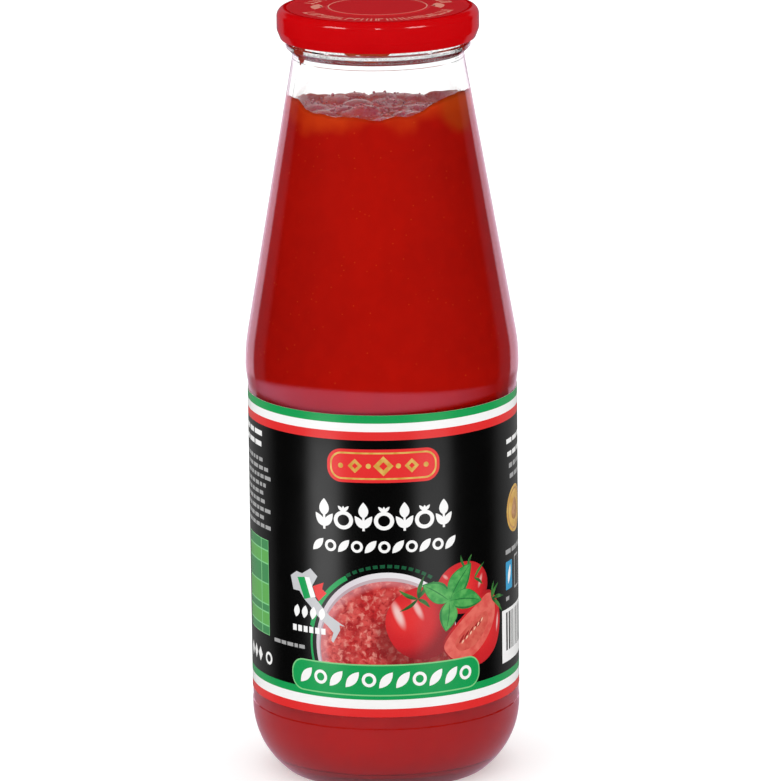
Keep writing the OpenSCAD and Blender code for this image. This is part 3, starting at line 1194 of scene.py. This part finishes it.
def tomatoes():
    """A whole tomato, one behind it and a cut one."""
    shapes = [("tomato_rear", oval(24.3, 60.6, 9.2, 7.7)),
              ("tomato_whole", closed_curve([(0.0, 52.0), (2.4, 58.6), (8.6, 62.3),
                                             (15.5, 61.2), (20.4, 55.6), (20.6, 47.5),
                                             (16.5, 42.2), (9.4, 41.0), (3.0, 44.6)])),
              ("tomato_cut", closed_curve([(17.2, 45.6), (24.5, 52.8), (33.2, 58.3),
                                           (38.4, 53.4), (39.3, 46.6), (36.8, 40.4),
                                           (30.9, 36.9), (23.6, 37.3), (18.6, 40.8)])),
              ("flesh", closed_curve([(17.7, 45.0), (18.5, 41.6), (21.9, 39.4),
                                      (27.5, 40.0), (33.2, 44.2), (36.7, 50.0),
                                      (36.2, 55.8), (33.4, 57.2), (29.6, 55.2),
                                      (23.6, 51.2)])),
              ("flesh_core", closed_curve([(21.2, 45.0), (23.0, 42.0), (28.6, 43.2),
                                           (33.4, 48.2), (32.6, 52.0), (26.8, 49.6)]))]
    for k in range(5):
        start = (22.4 + k * 1.7, 44.2 + k * 0.95)
        shapes.append(("tomato_dark", leaf(start, (start[0] + 1.9, start[1] + 2.6), 0.75)))
    for k in range(6):
        u, z = 23.2 + k * 1.45, 44.0 + k * 1.05
        shapes.append(("seed", leaf((u, z), (u + 0.9, z + 1.2), 0.6, 0, 1.2, 5)))
    return shapes


def greenery():
    """Stalks, calyxes and the sprig of basil."""
    stalks = [((9.5, 58.9), tip, width, 0.4) for tip, width in (
        ((3.9, 61.9), 1.2), ((4.1, 55.5), 1.0), ((11.6, 65.9), 1.2), ((14.6, 63.9), 1.2),
        ((13.2, 56.0), 1.2))]
    stalks += [(base, tip, 0.9, 0.3) for base, tip in (
        ((24.5, 66.6), (23.2, 70.4)), ((25.6, 66.4), (27.2, 70.0)),
        ((28.0, 62.6), (32.2, 66.9)), ((28.0, 62.8), (31.4, 60.3)))]
    stalks += [((35.4, 55.2), tip, width, 0.4) for tip, width in (
        ((38.8, 59.4), 1.1), ((42.0, 54.6), 1.1), ((40.9, 50.2), 1.2), ((36.6, 60.4), 0.9))]
    shapes = [("calyx", leaf(*stalk)) for stalk in stalks]
    root = (19.2, 57.4)
    for tip, width, bow in (((26.9, 67.6), 6.6, 0.5), ((10.9, 63.0), 6.2, -0.4),
                            ((31.0, 55.7), 6.0, 0.6), ((18.0, 48.4), 6.0, 0.3)):
        shapes.append(("basil_dark", leaf(root, tip, width, bow, 0.85, 18)))
        inner = (root[0] + (tip[0] - root[0]) * 0.97, root[1] + (tip[1] - root[1]) * 0.97)
        shapes.append(("basil", leaf(root, inner, width * 0.86, bow + 0.25, 0.85, 18)))
        shapes.append(("basil_dark", leaf(root, inner, 0.35, bow + 0.1, 1.0, 8)))
    shapes.append(("basil", leaf((18.0, 58.8), (20.8, 61.6), 2.4)))
    return shapes


def plaque():
    """The green plaque under the picture, with a white outline and a row of motifs."""
    shapes = [("pale_green", plate(-29.8, 29.8, 30.5, 39.9, 4.2)),
              ("green", plate(-29.4, 29.4, 30.9, 39.5, 3.8))]
    for i in range(11):
        u = (i - 5) * 4.9
        if i % 3 == 1:
            shapes += ring_mark("white", "green", u, 35.3, 2.1, 1.2)
        else:
            shapes.append(("white", leaf((u - 2.0, 32.9), (u + 2.0, 37.6), 2.7, 0, 1.0, 8)))
    return shapes


def country():
    """A long narrow land shape with a three-coloured band, and plain bars below it."""
    land = [(-29.8, 64.0), (-27.5, 65.6), (-25.5, 65.2), (-22.5, 67.1), (-20.2, 65.0),
            (-22.2, 61.6), (-21.0, 58.5), (-19.2, 56.6), (-16.5, 53.8), (-11.8, 50.9),
            (-13.4, 51.2), (-13.2, 49.7), (-15.4, 45.8), (-16.0, 46.5), (-15.3, 48.8),
            (-17.1, 50.7), (-20.5, 53.4), (-22.7, 55.9), (-24.7, 57.6), (-26.5, 59.9),
            (-28.8, 60.0)]
    shapes = [("silver", land),
              ("green", [(-27.2, 63.9), (-24.6, 64.3), (-22.6, 58.4), (-24.8, 57.7)]),
              ("white", [(-24.6, 64.3), (-22.9, 64.4), (-20.9, 58.8), (-22.6, 58.4)]),
              ("red", [(-21.8, 61.9), (-18.2, 63.4), (-18.7, 61.4), (-17.3, 60.3),
                       (-19.8, 57.7), (-20.8, 58.9)])]
    for k in range(4):
        u = -27.9 + k * 2.9
        shapes.append(("white", leaf((u, 52.0), (u + 0.6, 55.8), 2.1, 0, 1.0, 8)))
    for k in range(6):
        shapes.append(("white", bar(-29.2 + k * 2.0, -27.8 + k * 2.0, 47.9, 49.7)))
    return shapes


def side_prints(draw):
    """Small print, a table, a seal, a sign and a striped box, on the sides and the back."""
    shapes = []
    shapes += words("white", -58.5, -39.5, 102.6, 1.5, draw, 3.5, 6.5)
    shapes += words("white", -58.5, -40.5, 99.4, 1.5, draw, 3.5, 6.5)
    for k in range(9):
        shapes += words("grey", -58.5, -41.5 + draw.uniform(0, 3.2), 95.0 - k * 2.45, 1.15,
                        draw, 1.4, 3.8, 0.7)
    shapes.append(("pale_green", bar(-56.0, -40.2, 43.8, 72.2)))
    rows = (43.8, 46.5, 50.5, 52.9, 59.1, 65.1, 69.0, 72.2)
    for k, (low, high) in enumerate(zip(rows, rows[1:])):
        ink = "table" if k % 2 else "table_dark"
        shapes.append((ink, bar(-55.8, -44.9, low + 0.2, high - 0.2)))
        shapes.append((ink, bar(-44.5, -40.4, low + 0.2, high - 0.2)))
    for u in (-54.2, -50.4, -46.6):
        shapes.append(("white", lozenge(u, 37.0, 1.6, 2.2)))
    shapes.append(("white", oval(-40.9, 36.9, 1.9)))
    shapes.append(("ground", oval(-40.9, 36.9, 1.1)))
    shapes += words("grey", -37.6, -24.9, 42.8, 1.1, draw, 1.2, 3.0, 0.5)
    for k, (u, z) in enumerate(((44.6, 98.9), (45.2, 95.0), (46.4, 91.4), (47.0, 88.2))):
        shapes += words("white" if k < 2 else "grey", u, 66.0, z, 1.4, draw, 2.5, 5.0)
    shapes += [("gold", oval(51.4, 78.6, 7.0, 7.0, 64)),
               ("gold_dark", oval(51.4, 78.6, 6.1, 6.1, 64)),
               ("gold", oval(51.4, 78.6, 5.6, 5.6, 64)),
               ("gold_dark", closed_curve([(48.6, 76.4), (51.4, 75.2), (54.2, 76.4),
                                           (54.0, 79.4), (51.4, 81.8), (48.8, 79.4)]))]
    shapes += words("grey", 43.5, 62.0, 66.2, 1.4, draw, 2.5, 5.0)
    shapes += [("sky", plate(43.5, 48.3, 55.6, 64.0, 0.4, 2)),
               ("white", leaf((45.2, 57.2), (46.8, 62.8), 1.9, 0, 1.0, 6)),
               ("grey", plate(50.6, 55.4, 54.6, 64.6, 0.4, 2)),
               ("ground", plate(51.2, 54.8, 55.2, 64.0, 0.3, 2))]
    shapes += words("grey", 43.5, 48.4, 52.4, 1.2, draw, 2.0, 3.0)
    shapes += [("white", bar(40.9, 71.0, 34.3, 50.0))]
    u = 43.4
    while u < 68.5:
        wide = draw.choice((0.35, 0.35, 0.7, 1.05))
        shapes.append(("ground", bar(u, u + wide, 37.6, 49.0)))
        u += wide + draw.choice((0.4, 0.4, 0.8, 1.1))
    for side in (-1, 1):
        for k in range(14):
            z = 99.0 - k * 3.1
            first, last = (66.0, 112.0) if side < 0 else (76.0, 116.0)
            row = words("grey", first, last - draw.uniform(0, 9), z, 1.2, draw)
            if side < 0:
                row = [(ink, [(-u, v) for u, v in reversed(points)]) for ink, points in row]
            shapes += row
    shapes.append(("green", plate(78.0, 112.0, 38.0, 50.0, 2.0, 4)))
    shapes.append(("red", plate(-110.0, -74.0, 38.0, 50.0, 2.0, 4)))
    return shapes


# ---------------------------------------------------------------- label inks

def finish_ink(material, tree, out, place, ink, fading=0.01):
    """Ends an ink's material with the grain of printed paper."""
    paper = add(tree, "ShaderNodeGroup",
                {"Place": place, "Ink": ink, "Fading": fading, "Gloss Roughness": 0.24},
                node_tree=print_group()).outputs
    surface(tree, out, paper["Colour"], paper["Roughness"], 0.5, paper["Height"], 0.004)
    return material


def plain_ink(name, ink, fading=0.01):
    """An ink of one colour."""
    return finish_ink(*new_material("ink_" + name, True), ink, fading)


def oval_distance(tree, place, centre, radii, turn=0.0):
    """The distance output of the oval group."""
    return add(tree, "ShaderNodeGroup",
               {"Place": place, "Centre": (*centre, 0), "Radii": (*radii, 1),
                "Turn": math.radians(turn)}, node_tree=round_group()).outputs["Distance"]


def fruit_ink(name, centre, radius, colours, glints):
    """Shaded fruit: light, middle and dark reds round a centre, with soft glints given as
    (centre, radii, turn, strength)."""
    material, tree, out, place = new_material("ink_" + name, True)
    away = oval_distance(tree, place, centre, (radius, radius))
    light, middle, dark = colours
    tone = blend(tree, spread(tree, away, 0.2, 0.9), light, middle)
    tone = blend(tree, spread(tree, away, 0.85, 1.5), tone, dark)
    for spot, radii, turn, strength in glints:
        near = spread(tree, oval_distance(tree, place, spot, radii, turn), 1.0, 0.2,
                      0.0, strength)
        tone = blend(tree, near, tone, srgb(250, 214, 208))
    return finish_ink(material, tree, out, place, tone)


def pulp_ink(name):
    """Chunky passata in the bowl, seen from above."""
    material, tree, out, place = new_material("ink_" + name, True)
    bent = rough_field(tree, place, 0.7, 2.0, "Color")
    warped = vectors(tree, "ADD", place, vectors(tree, "MULTIPLY", bent, (2.2, 2.2, 0.0)))
    chunks = cells(tree, warped, 0.36)
    fine = rough_field(tree, warped, 0.62, 4.0)
    cloud = rough_field(tree, place, 0.12, 2.0)
    shade = oval_distance(tree, place, (12.0, 47.0), (17.0, 15.0))
    edge = oval_distance(tree, place, (1.1, 44.4), (19.4, 19.7))
    tone = srgb(224, 84, 78)
    for field, low, high, share, ink in (
            (chunks, 0.15, 0.9, 1.0, srgb(172, 22, 28)),
            (cloud, 0.46, 0.62, 0.6, srgb(206, 30, 32)),
            (fine, 0.5, 0.68, 0.8, srgb(240, 150, 136)),
            (fine, 0.45, 0.33, 0.85, srgb(158, 16, 22)),
            (shade, 1.0, 0.7, 0.7, srgb(120, 14, 18)),
            (edge, 0.9, 1.0, 0.35, srgb(232, 170, 176))):
        tone = blend(tree, spread(tree, field, low, high, 0, share), tone, ink)
    return finish_ink(material, tree, out, place, tone, 0.02)


def rim_ink(name, light, dark):
    """White china of the bowl's rim, greyer at the left."""
    material, tree, out, place = new_material("ink_" + name, True)
    side = add(tree, "ShaderNodeSeparateXYZ", {0: place}).outputs["X"]
    tone = blend(tree, spread(tree, side, -22.0, 2.0), dark, light)
    return finish_ink(material, tree, out, place, tone)


def leaf_ink(name, light, dark):
    """Green leaves with soft uneven shading."""
    material, tree, out, place = new_material("ink_" + name, True)
    patches = rough_field(tree, place, 0.35, 3.0)
    tone = blend(tree, spread(tree, patches, 0.35, 0.65), light, dark)
    return finish_ink(material, tree, out, place, tone)


def label_inks():
    """All the inks of the label by name, in a fixed order."""
    look = bpy.context.scene.passata_label
    reds = (srgb(236, 44, 44), srgb(214, 26, 34), srgb(150, 16, 28))
    recipes = {
        "paper": (plain_ink, srgb(236, 234, 228), 0.1),
        "ground": (plain_ink, look.ground, 0.002),
        "green": (plain_ink, look.green),
        "red": (plain_ink, look.red),
        "white": (plain_ink, look.white),
        "grey": (plain_ink, srgb(170, 170, 170)),
        "silver": (plain_ink, srgb(204, 205, 208)),
        "deep_green": (plain_ink, srgb(14, 92, 56)),
        "pale_green": (plain_ink, srgb(130, 214, 140)),
        "table": (plain_ink, srgb(96, 180, 84)),
        "table_dark": (plain_ink, srgb(62, 146, 84)),
        "gold": (leaf_ink, srgb(232, 190, 96), srgb(214, 160, 60)),
        "gold_dark": (leaf_ink, srgb(176, 122, 58), srgb(204, 150, 100)),
        "sky": (plain_ink, srgb(40, 160, 210)),
        "rim": (rim_ink, srgb(238, 234, 238), srgb(214, 202, 210)),
        "rim_shade": (rim_ink, srgb(206, 184, 190), srgb(180, 158, 168)),
        "pulp": (pulp_ink,),
        "tomato_whole": (fruit_ink, (5.6, 53.6), 8.8, reds,
                                  [((3.8, 54.6), (1.7, 5.6), -22, 0.9),
                                   ((9.4, 56.0), (1.3, 4.4), -26, 0.7)]),
        "tomato_rear": (fruit_ink, (24.0, 61.5), 7.5, reds,
                                 [((30.4, 61.6), (0.8, 2.6), 20, 0.6),
                                  ((18.0, 64.6), (1.4, 0.7), 40, 0.5)]),
        "tomato_cut": (fruit_ink, (30.0, 47.0), 9.5, reds,
                                [((38.0, 47.8), (0.6, 3.4), 8, 0.7)]),
        "tomato_dark": (plain_ink, srgb(166, 30, 32)),
        "flesh": (leaf_ink, srgb(238, 112, 98), srgb(226, 84, 76)),
        "flesh_core": (leaf_ink, srgb(214, 74, 66), srgb(226, 104, 88)),
        "seed": (plain_ink, srgb(250, 190, 160)),
        "calyx": (leaf_ink, srgb(70, 140, 60), srgb(30, 92, 40)),
        "basil": (leaf_ink, srgb(92, 184, 92), srgb(52, 154, 70)),
        "basil_dark": (leaf_ink, srgb(44, 134, 64), srgb(32, 118, 54)),
    }
    return {name: make(name, *given) for name, (make, *given) in recipes.items()}


# ---------------------------------------------------------------- label sheet

def anticlockwise(points):
    """The outline in anticlockwise order."""
    area = sum(a[0] * b[1] - b[0] * a[1] for a, b in zip(points, points[1:] + points[:1]))
    return points if area > 0 else points[::-1]


def cut_sheet(shapes, left, right, low, high, pitch):
    """The flat sheet cut into triangles along every shape and along upright lines, with the
    index of the uppermost shape on each triangle."""
    points, edges, faces = [], [], []
    for _, outline in shapes:
        outline = anticlockwise(outline)
        first = len(points)
        points += [Vector(p) for p in outline]
        faces.append(list(range(first, len(points))))
    lines = math.ceil((right - left) / pitch)
    for i in range(1, lines):
        u = left + (right - left) * i / lines
        points += [Vector((u, low)), Vector((u, high))]
        edges.append((len(points) - 2, len(points) - 1))
    flat, _, triangles, _, _, sources = geometry.delaunay_2d_cdt(
        points, edges, faces, 1, 0.002, True)
    tops = [max(ids) if ids else 0 for ids in sources]
    return flat, triangles, tops


def build_label():
    """The printed label: one sheet wrapped round the panel, with its overlap at the back."""
    look = values_in_mm(bpy.context.scene.passata_label)
    low, high = LABEL_LOW.z, LABEL_HIGH.z
    glue = 0.02
    inner = glass_sizes().panel_r + glue
    outer = inner + look.paper_t
    left = -math.pi * outer - look.lap / 2
    right = math.pi * outer + look.lap / 2
    draw = random.Random(7)
    shapes = [("ground", bar(left, right, low, high))]
    shapes += crest() + heading() + bowl() + country() + tomatoes() + greenery()
    shapes += stripes(left, right, low, high) + side_prints(draw) + plaque()
    flat, triangles, tops = cut_sheet(shapes, left, right, low, high, 1.4)
    inks = label_inks()
    order = {name: i for i, name in enumerate(inks)}

    def wrapped(u, z, depth):
        over = smoothstep(right - look.lap - 3.0, right - look.lap, u)
        return on_ring(outer + look.paper_t * over - depth, u / outer, z)

    count = len(flat)
    verts = [wrapped(p.x, p.y, 0) for p in flat]
    verts += [wrapped(p.x, p.y, look.paper_t * 0.98) for p in flat]
    faces = [tuple(t) for t in triangles]
    indices = [order[shapes[top][0]] for top in tops]
    faces += [tuple(count + i for i in reversed(t)) for t in triangles]
    indices += [order["paper"]] * len(triangles)
    used = {}
    for t in triangles:
        for a, b in zip(t, t[1:] + t[:1]):
            used[(a, b)] = used.get((a, b), 0) + 1
    rim = [edge for edge in used if (edge[1], edge[0]) not in used]
    for a, b in rim:
        faces.append((b, a, count + a, count + b))
        indices.append(order["paper"])
    sheet = make_piece("label_sheet", verts, faces, list(inks.values()), "label_paper",
                       ("label",), inks=indices, sharp=0, tidy=False)
    mesh = sheet.data
    flat_map = mesh.uv_layers.new(name="sheet")
    places = np.array([(p.x, p.y) for p in flat] * 2, np.float32)
    corners = np.empty(len(mesh.loops), np.int32)
    mesh.loops.foreach_get("vertex_index", corners)
    flat_map.uv.foreach_set("vector", places[corners].ravel())
    normals = []
    printed = len(triangles)
    for polygon in mesh.polygons:
        for loop in polygon.loop_indices:
            place = mesh.vertices[mesh.loops[loop].vertex_index].co
            away = Vector((place.x, place.y, 0)).normalized()
            if polygon.index < printed:
                normals.append(away)
            elif polygon.index < 2 * printed:
                normals.append(-away)
            else:
                normals.append(polygon.normal.copy())
    mesh.normals_split_custom_set(normals)


# ---------------------------------------------------------------- studio

def stage_material():
    """The pale floor. The camera sees it lit more strongly than the bottle does."""
    material, tree, out, place = new_material("studio_floor")
    tone, _ = mottled(tree, place, (0.90, 0.90, 0.90, 1), (0.88, 0.88, 0.885, 1), 3.0, 40.0)
    path = add(tree, "ShaderNodeLightPath")
    seen = maths(tree, "MAXIMUM", path.outputs["Is Camera Ray"],
                 path.outputs["Is Transmission Ray"])
    glow = add(tree, "ShaderNodeEmission",
               {"Color": (0.97, 1, 1, 1), "Strength": maths(tree, "MULTIPLY", seen, 0.32)})
    matt = add(tree, "ShaderNodeBsdfDiffuse", {"Color": tone})
    both = add(tree, "ShaderNodeAddShader", {0: matt.outputs[0], 1: glow.outputs[0]})
    tree.links.new(both.outputs[0], out.inputs["Surface"])
    return material


HOLE_FADE = 50          # over which a card's dark middle fades in


def soften(light, share, hole=0):
    """Fades a light out towards its edges, over a share of its half-width, and also round the
    bottle's axis inside the radius of a hole."""
    light.use_nodes = True
    tree = light.node_tree
    glow = tree.nodes["Emission"]
    spot = add(tree, "ShaderNodeNewGeometry").outputs
    centred = vectors(tree, "SUBTRACT", spot["Parametric"], (0.5, 0.5, 0))
    flat = vectors(tree, "MULTIPLY", centred, (2, 2, 0))
    if light.shape == "ELLIPSE":
        fall = spread(tree, vectors(tree, "LENGTH", flat), 1.0, 1.0 - share)
    else:
        sides = add(tree, "ShaderNodeSeparateXYZ",
                    {0: vectors(tree, "ABSOLUTE", flat)}).outputs
        fall = maths(tree, "MULTIPLY", spread(tree, sides["X"], 1.0, 1.0 - share),
                     spread(tree, sides["Y"], 1.0, 1.0 - share))
    if hole:
        reach = vectors(tree, "LENGTH", spot["Position"])
        fall = maths(tree, "MULTIPLY", fall,
                     spread(tree, reach, hole * MM, (hole + HOLE_FADE) * MM))
    tree.links.new(fall, glow.inputs["Strength"])


def card(name, place, aim, size, brightness, only=None, tint=(1, 1, 1), shape="RECTANGLE",
         soft=0.0, hole=0):
    """A card of light that only gloss reflects. brightness is its radiance, only names the
    slots whose pieces reflect it, soft is how much of it fades towards its edges, and hole is
    the radius of a dark middle. With no aim it lies flat and shines up."""
    light = bpy.data.lights.new(name, "AREA")
    light.shape = shape
    light.color = tint
    light.size = size[0] * MM
    light.size_y = size[1] * MM
    area = light.size * light.size_y * (math.pi / 4 if shape == "ELLIPSE" else 1)
    light.energy = brightness * area * math.pi
    if soft:
        soften(light, soft, hole)
    made = bpy.data.objects.new(name, light)
    made.location = Vector(place) * MM
    if aim is None:
        made.rotation_euler = (math.pi, 0, 0)
    else:
        made.rotation_euler = (Vector(aim) - Vector(place)).to_track_quat("-Z", "Y").to_euler()
    made.visible_camera = False
    made.visible_transmission = False
    made.visible_diffuse = False
    if only:
        group = bpy.data.collections.new(name + "_lit")
        for slot in only:
            group.children.link(lit_group(slot))
        made.light_linking.receiver_collection = group
    bpy.context.scene.collection.objects.link(made)
    return made


def lamp(name, place, aim, size, brightness, only=None):
    """A soft lamp that lights matt surfaces and isn't reflected."""
    made = card(name, place, aim, size, brightness, only)
    made.visible_diffuse = True
    made.visible_glossy = False
    made.data.cycles.use_multiple_importance_sampling = False
    return made


def studio_world(look):
    """Even white light for everything but gloss, which sees a dark room."""
    world = bpy.data.worlds.new("studio")
    world.use_nodes = True
    sky = world.node_tree.nodes["Background"]
    sky.inputs["Color"].default_value = (1, 1, 1, 1)
    sky.inputs["Strength"].default_value = look.daylight
    world.cycles_visibility.glossy = False
    bpy.context.scene.world = world


def build_lights():
    """Lamps for the passata, and cards for each gloss: glass, label and cap."""
    glass, tomato, tin, paper = "clear_glass", "tomato", "red_tinplate", "label_paper"
    cool, white = (1.0, 0.74, 0.92), (1, 1, 1)
    # Each row: name, distance, angle from the front, height, size, brightness, slot, tint, soft
    pairs = (("glass_edge", 900, 154, 210, (640, 830), 1.15, glass, cool, 0.3),
             ("glass_side", 900, 130, 120, (620, 900), 0.13, glass, cool, 0.5),
             ("cap_edge", 900, 154, 60, (700, 1100), 0.26, tin, cool, 0.2),
             ("label_edge", 500, 138, 60, (760, 1000), 0.26, paper, white, 0.6))
    for side, end in ((-1, "_left"), (1, "_right")):
        for name, away, turn, height, size, brightness, slot, tint, soft in pairs:
            card(name + end, on_ring(away, math.radians(side * turn), height),
                 (0, 0, height), size, brightness, [slot], tint, soft=soft)
    for name, turn, wide, brightness, soft in (("label_left", -45, 88, 2.1, 0.7),
                                               ("label_right", 37, 92, 1.15, 0.6)):
        card(name, on_ring(135, math.radians(turn), 50), (0, 0, 50), (wide, 110),
             brightness, [paper], soft=soft)
    card("heel", (0, 0, -0.01), None, (250, 250), 0.6, [glass], (1, 0.70, 0.86),
         "ELLIPSE")
    card("step", (-90, -110, -0.01), None, (960, 960), 1.5, [glass], (1, 0.58, 0.9),
         "ELLIPSE", 0.5, 145)
    away, aim = 560, 224
    rise = away * math.tan(math.radians(27))
    for angle, wide in ((-52, 300), (0, 60), (46, 260)):
        place = on_ring(away, math.radians(angle), aim + rise)
        for name, brightness, slots in (("cap_glint", 9.0, [tin, glass]),
                                        ("froth_glint", 16.0, [tomato])):
            card("%s_%d" % (name, angle), place, (0, 0, aim), (wide, 160), brightness, slots,
                 soft=0.3)
    lamp("passata_low", (0, -500, 70), (0, 0, 10), (900, 120), 3.6, [tomato])
    lamp("key", (-700, -700, 1100), (0, 0, 110), (700, 700), 0.6)


def build_studio():
    """Floor, lights and camera."""
    look = bpy.context.scene.passata_studio
    scene = bpy.context.scene
    half, steps = 3000.0, 12
    mesh = bpy.data.meshes.new("studio_floor")
    verts = [((-half + 2 * half * i / steps) * MM, (-half + 2 * half * j / steps) * MM,
              -0.02 * MM) for j in range(steps + 1) for i in range(steps + 1)]
    faces = [(j * (steps + 1) + i, j * (steps + 1) + i + 1,
              (j + 1) * (steps + 1) + i + 1, (j + 1) * (steps + 1) + i)
             for j in range(steps) for i in range(steps)]
    mesh.from_pydata(verts, [], faces)
    mesh.materials.append(stage_material())
    floor = bpy.data.objects.new("studio_floor", mesh)
    floor.visible_glossy = False
    scene.collection.objects.link(floor)

    studio_world(look)
    build_lights()
    middle = (CAD_BOX[0].z + CAD_BOX[1].z) / 2 / MM
    camera = bpy.data.cameras.new("camera")
    camera.lens = look.lens
    camera.sensor_width = 36
    camera.clip_start = 0.01
    camera.clip_end = 20
    eye = bpy.data.objects.new("camera", camera)
    away = look.distance
    drop, right, up = 1.05, 2.2, 0.27       # of the view's centre from the bottle's middle
    waist = (middle - drop) * MM
    aim = Vector((right * MM, 0, waist + up * MM))
    eye.location = (0, -away * math.cos(look.elevation),
                    waist + away * math.sin(look.elevation))
    eye.rotation_euler = (aim - eye.location).to_track_quat("-Z", "Y").to_euler()
    eye.rotation_euler.rotate_axis("Z", -look.roll)
    scene.collection.objects.link(eye)
    scene.camera = eye
    scene.view_settings.view_transform = "Standard"


# ---------------------------------------------------------------- operators

def main():
    """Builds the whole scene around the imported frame."""
    register()
    bpy.ops.passata.studio()
    bpy.ops.passata.glass()
    bpy.ops.passata.fill()
    bpy.ops.passata.froth()
    bpy.ops.passata.smears()
    bpy.ops.passata.cap()
    bpy.ops.passata.cap_print()
    bpy.ops.passata.label()
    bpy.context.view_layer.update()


class Maker:
    """What the operators share: each runs its own builder, and an error in it is raised."""
    def execute(self, context):
        self.build()
        return {"FINISHED"}


class PASSATA_OT_studio(Maker, bpy.types.Operator):
    """Make the floor, the lights and the camera"""
    bl_idname = "passata.studio"
    bl_label = "Studio"
    build = staticmethod(build_studio)


class PASSATA_OT_glass(Maker, bpy.types.Operator):
    """Make the glass bottle"""
    bl_idname = "passata.glass"
    bl_label = "Glass"
    build = staticmethod(build_glass)


class PASSATA_OT_fill(Maker, bpy.types.Operator):
    """Fill the bottle with passata"""
    bl_idname = "passata.fill"
    bl_label = "Passata"
    build = staticmethod(build_passata)


class PASSATA_OT_froth(Maker, bpy.types.Operator):
    """Scatter small bubbles over the surface"""
    bl_idname = "passata.froth"
    bl_label = "Bubbles"
    build = staticmethod(build_beads)


class PASSATA_OT_smears(Maker, bpy.types.Operator):
    """Leave films of passata on the wall"""
    bl_idname = "passata.smears"
    bl_label = "Smears"
    build = staticmethod(build_smears)


class PASSATA_OT_cap(Maker, bpy.types.Operator):
    """Make the twist-off cap"""
    bl_idname = "passata.cap"
    bl_label = "Cap"
    build = staticmethod(build_cap)


class PASSATA_OT_cap_print(Maker, bpy.types.Operator):
    """Print the marks on the cap"""
    bl_idname = "passata.cap_print"
    bl_label = "Cap print"
    build = staticmethod(build_cap_print)


class PASSATA_OT_label(Maker, bpy.types.Operator):
    """Print the label and wrap it round the bottle"""
    bl_idname = "passata.label"
    bl_label = "Label"
    build = staticmethod(build_label)


class PASSATA_PT_panel(bpy.types.Panel):
    """Lists the pieces of the bottle"""
    bl_idname = "PASSATA_PT_panel"
    bl_label = "Passata Bottle"
    bl_space_type = "VIEW_3D"
    bl_region_type = "UI"
    bl_category = "Passata"

    def draw(self, context):
        for kind in OPERATORS:
            self.layout.operator(kind.bl_idname)


OPERATORS = (PASSATA_OT_studio, PASSATA_OT_glass, PASSATA_OT_fill, PASSATA_OT_froth,
             PASSATA_OT_smears, PASSATA_OT_cap, PASSATA_OT_cap_print, PASSATA_OT_label)
SETTINGS = {"passata_glass": PassataGlassSettings, "passata_fill": PassataFillSettings,
            "passata_cap": PassataCapSettings, "passata_label": PassataLabelSettings,
            "passata_studio": PassataStudioSettings}


def register():
    """Registers the settings, the operators and the panel."""
    for name, kind in SETTINGS.items():
        bpy.utils.register_class(kind)
        setattr(bpy.types.Scene, name, bpy.props.PointerProperty(type=kind))
    for kind in OPERATORS + (PASSATA_PT_panel,):
        bpy.utils.register_class(kind)


def unregister():
    """Takes them away again."""
    for kind in (PASSATA_PT_panel,) + OPERATORS[::-1]:
        bpy.utils.unregister_class(kind)
    for name, kind in SETTINGS.items():
        delattr(bpy.types.Scene, name)
        bpy.utils.unregister_class(kind)


if __name__ == "__main__":
    main()
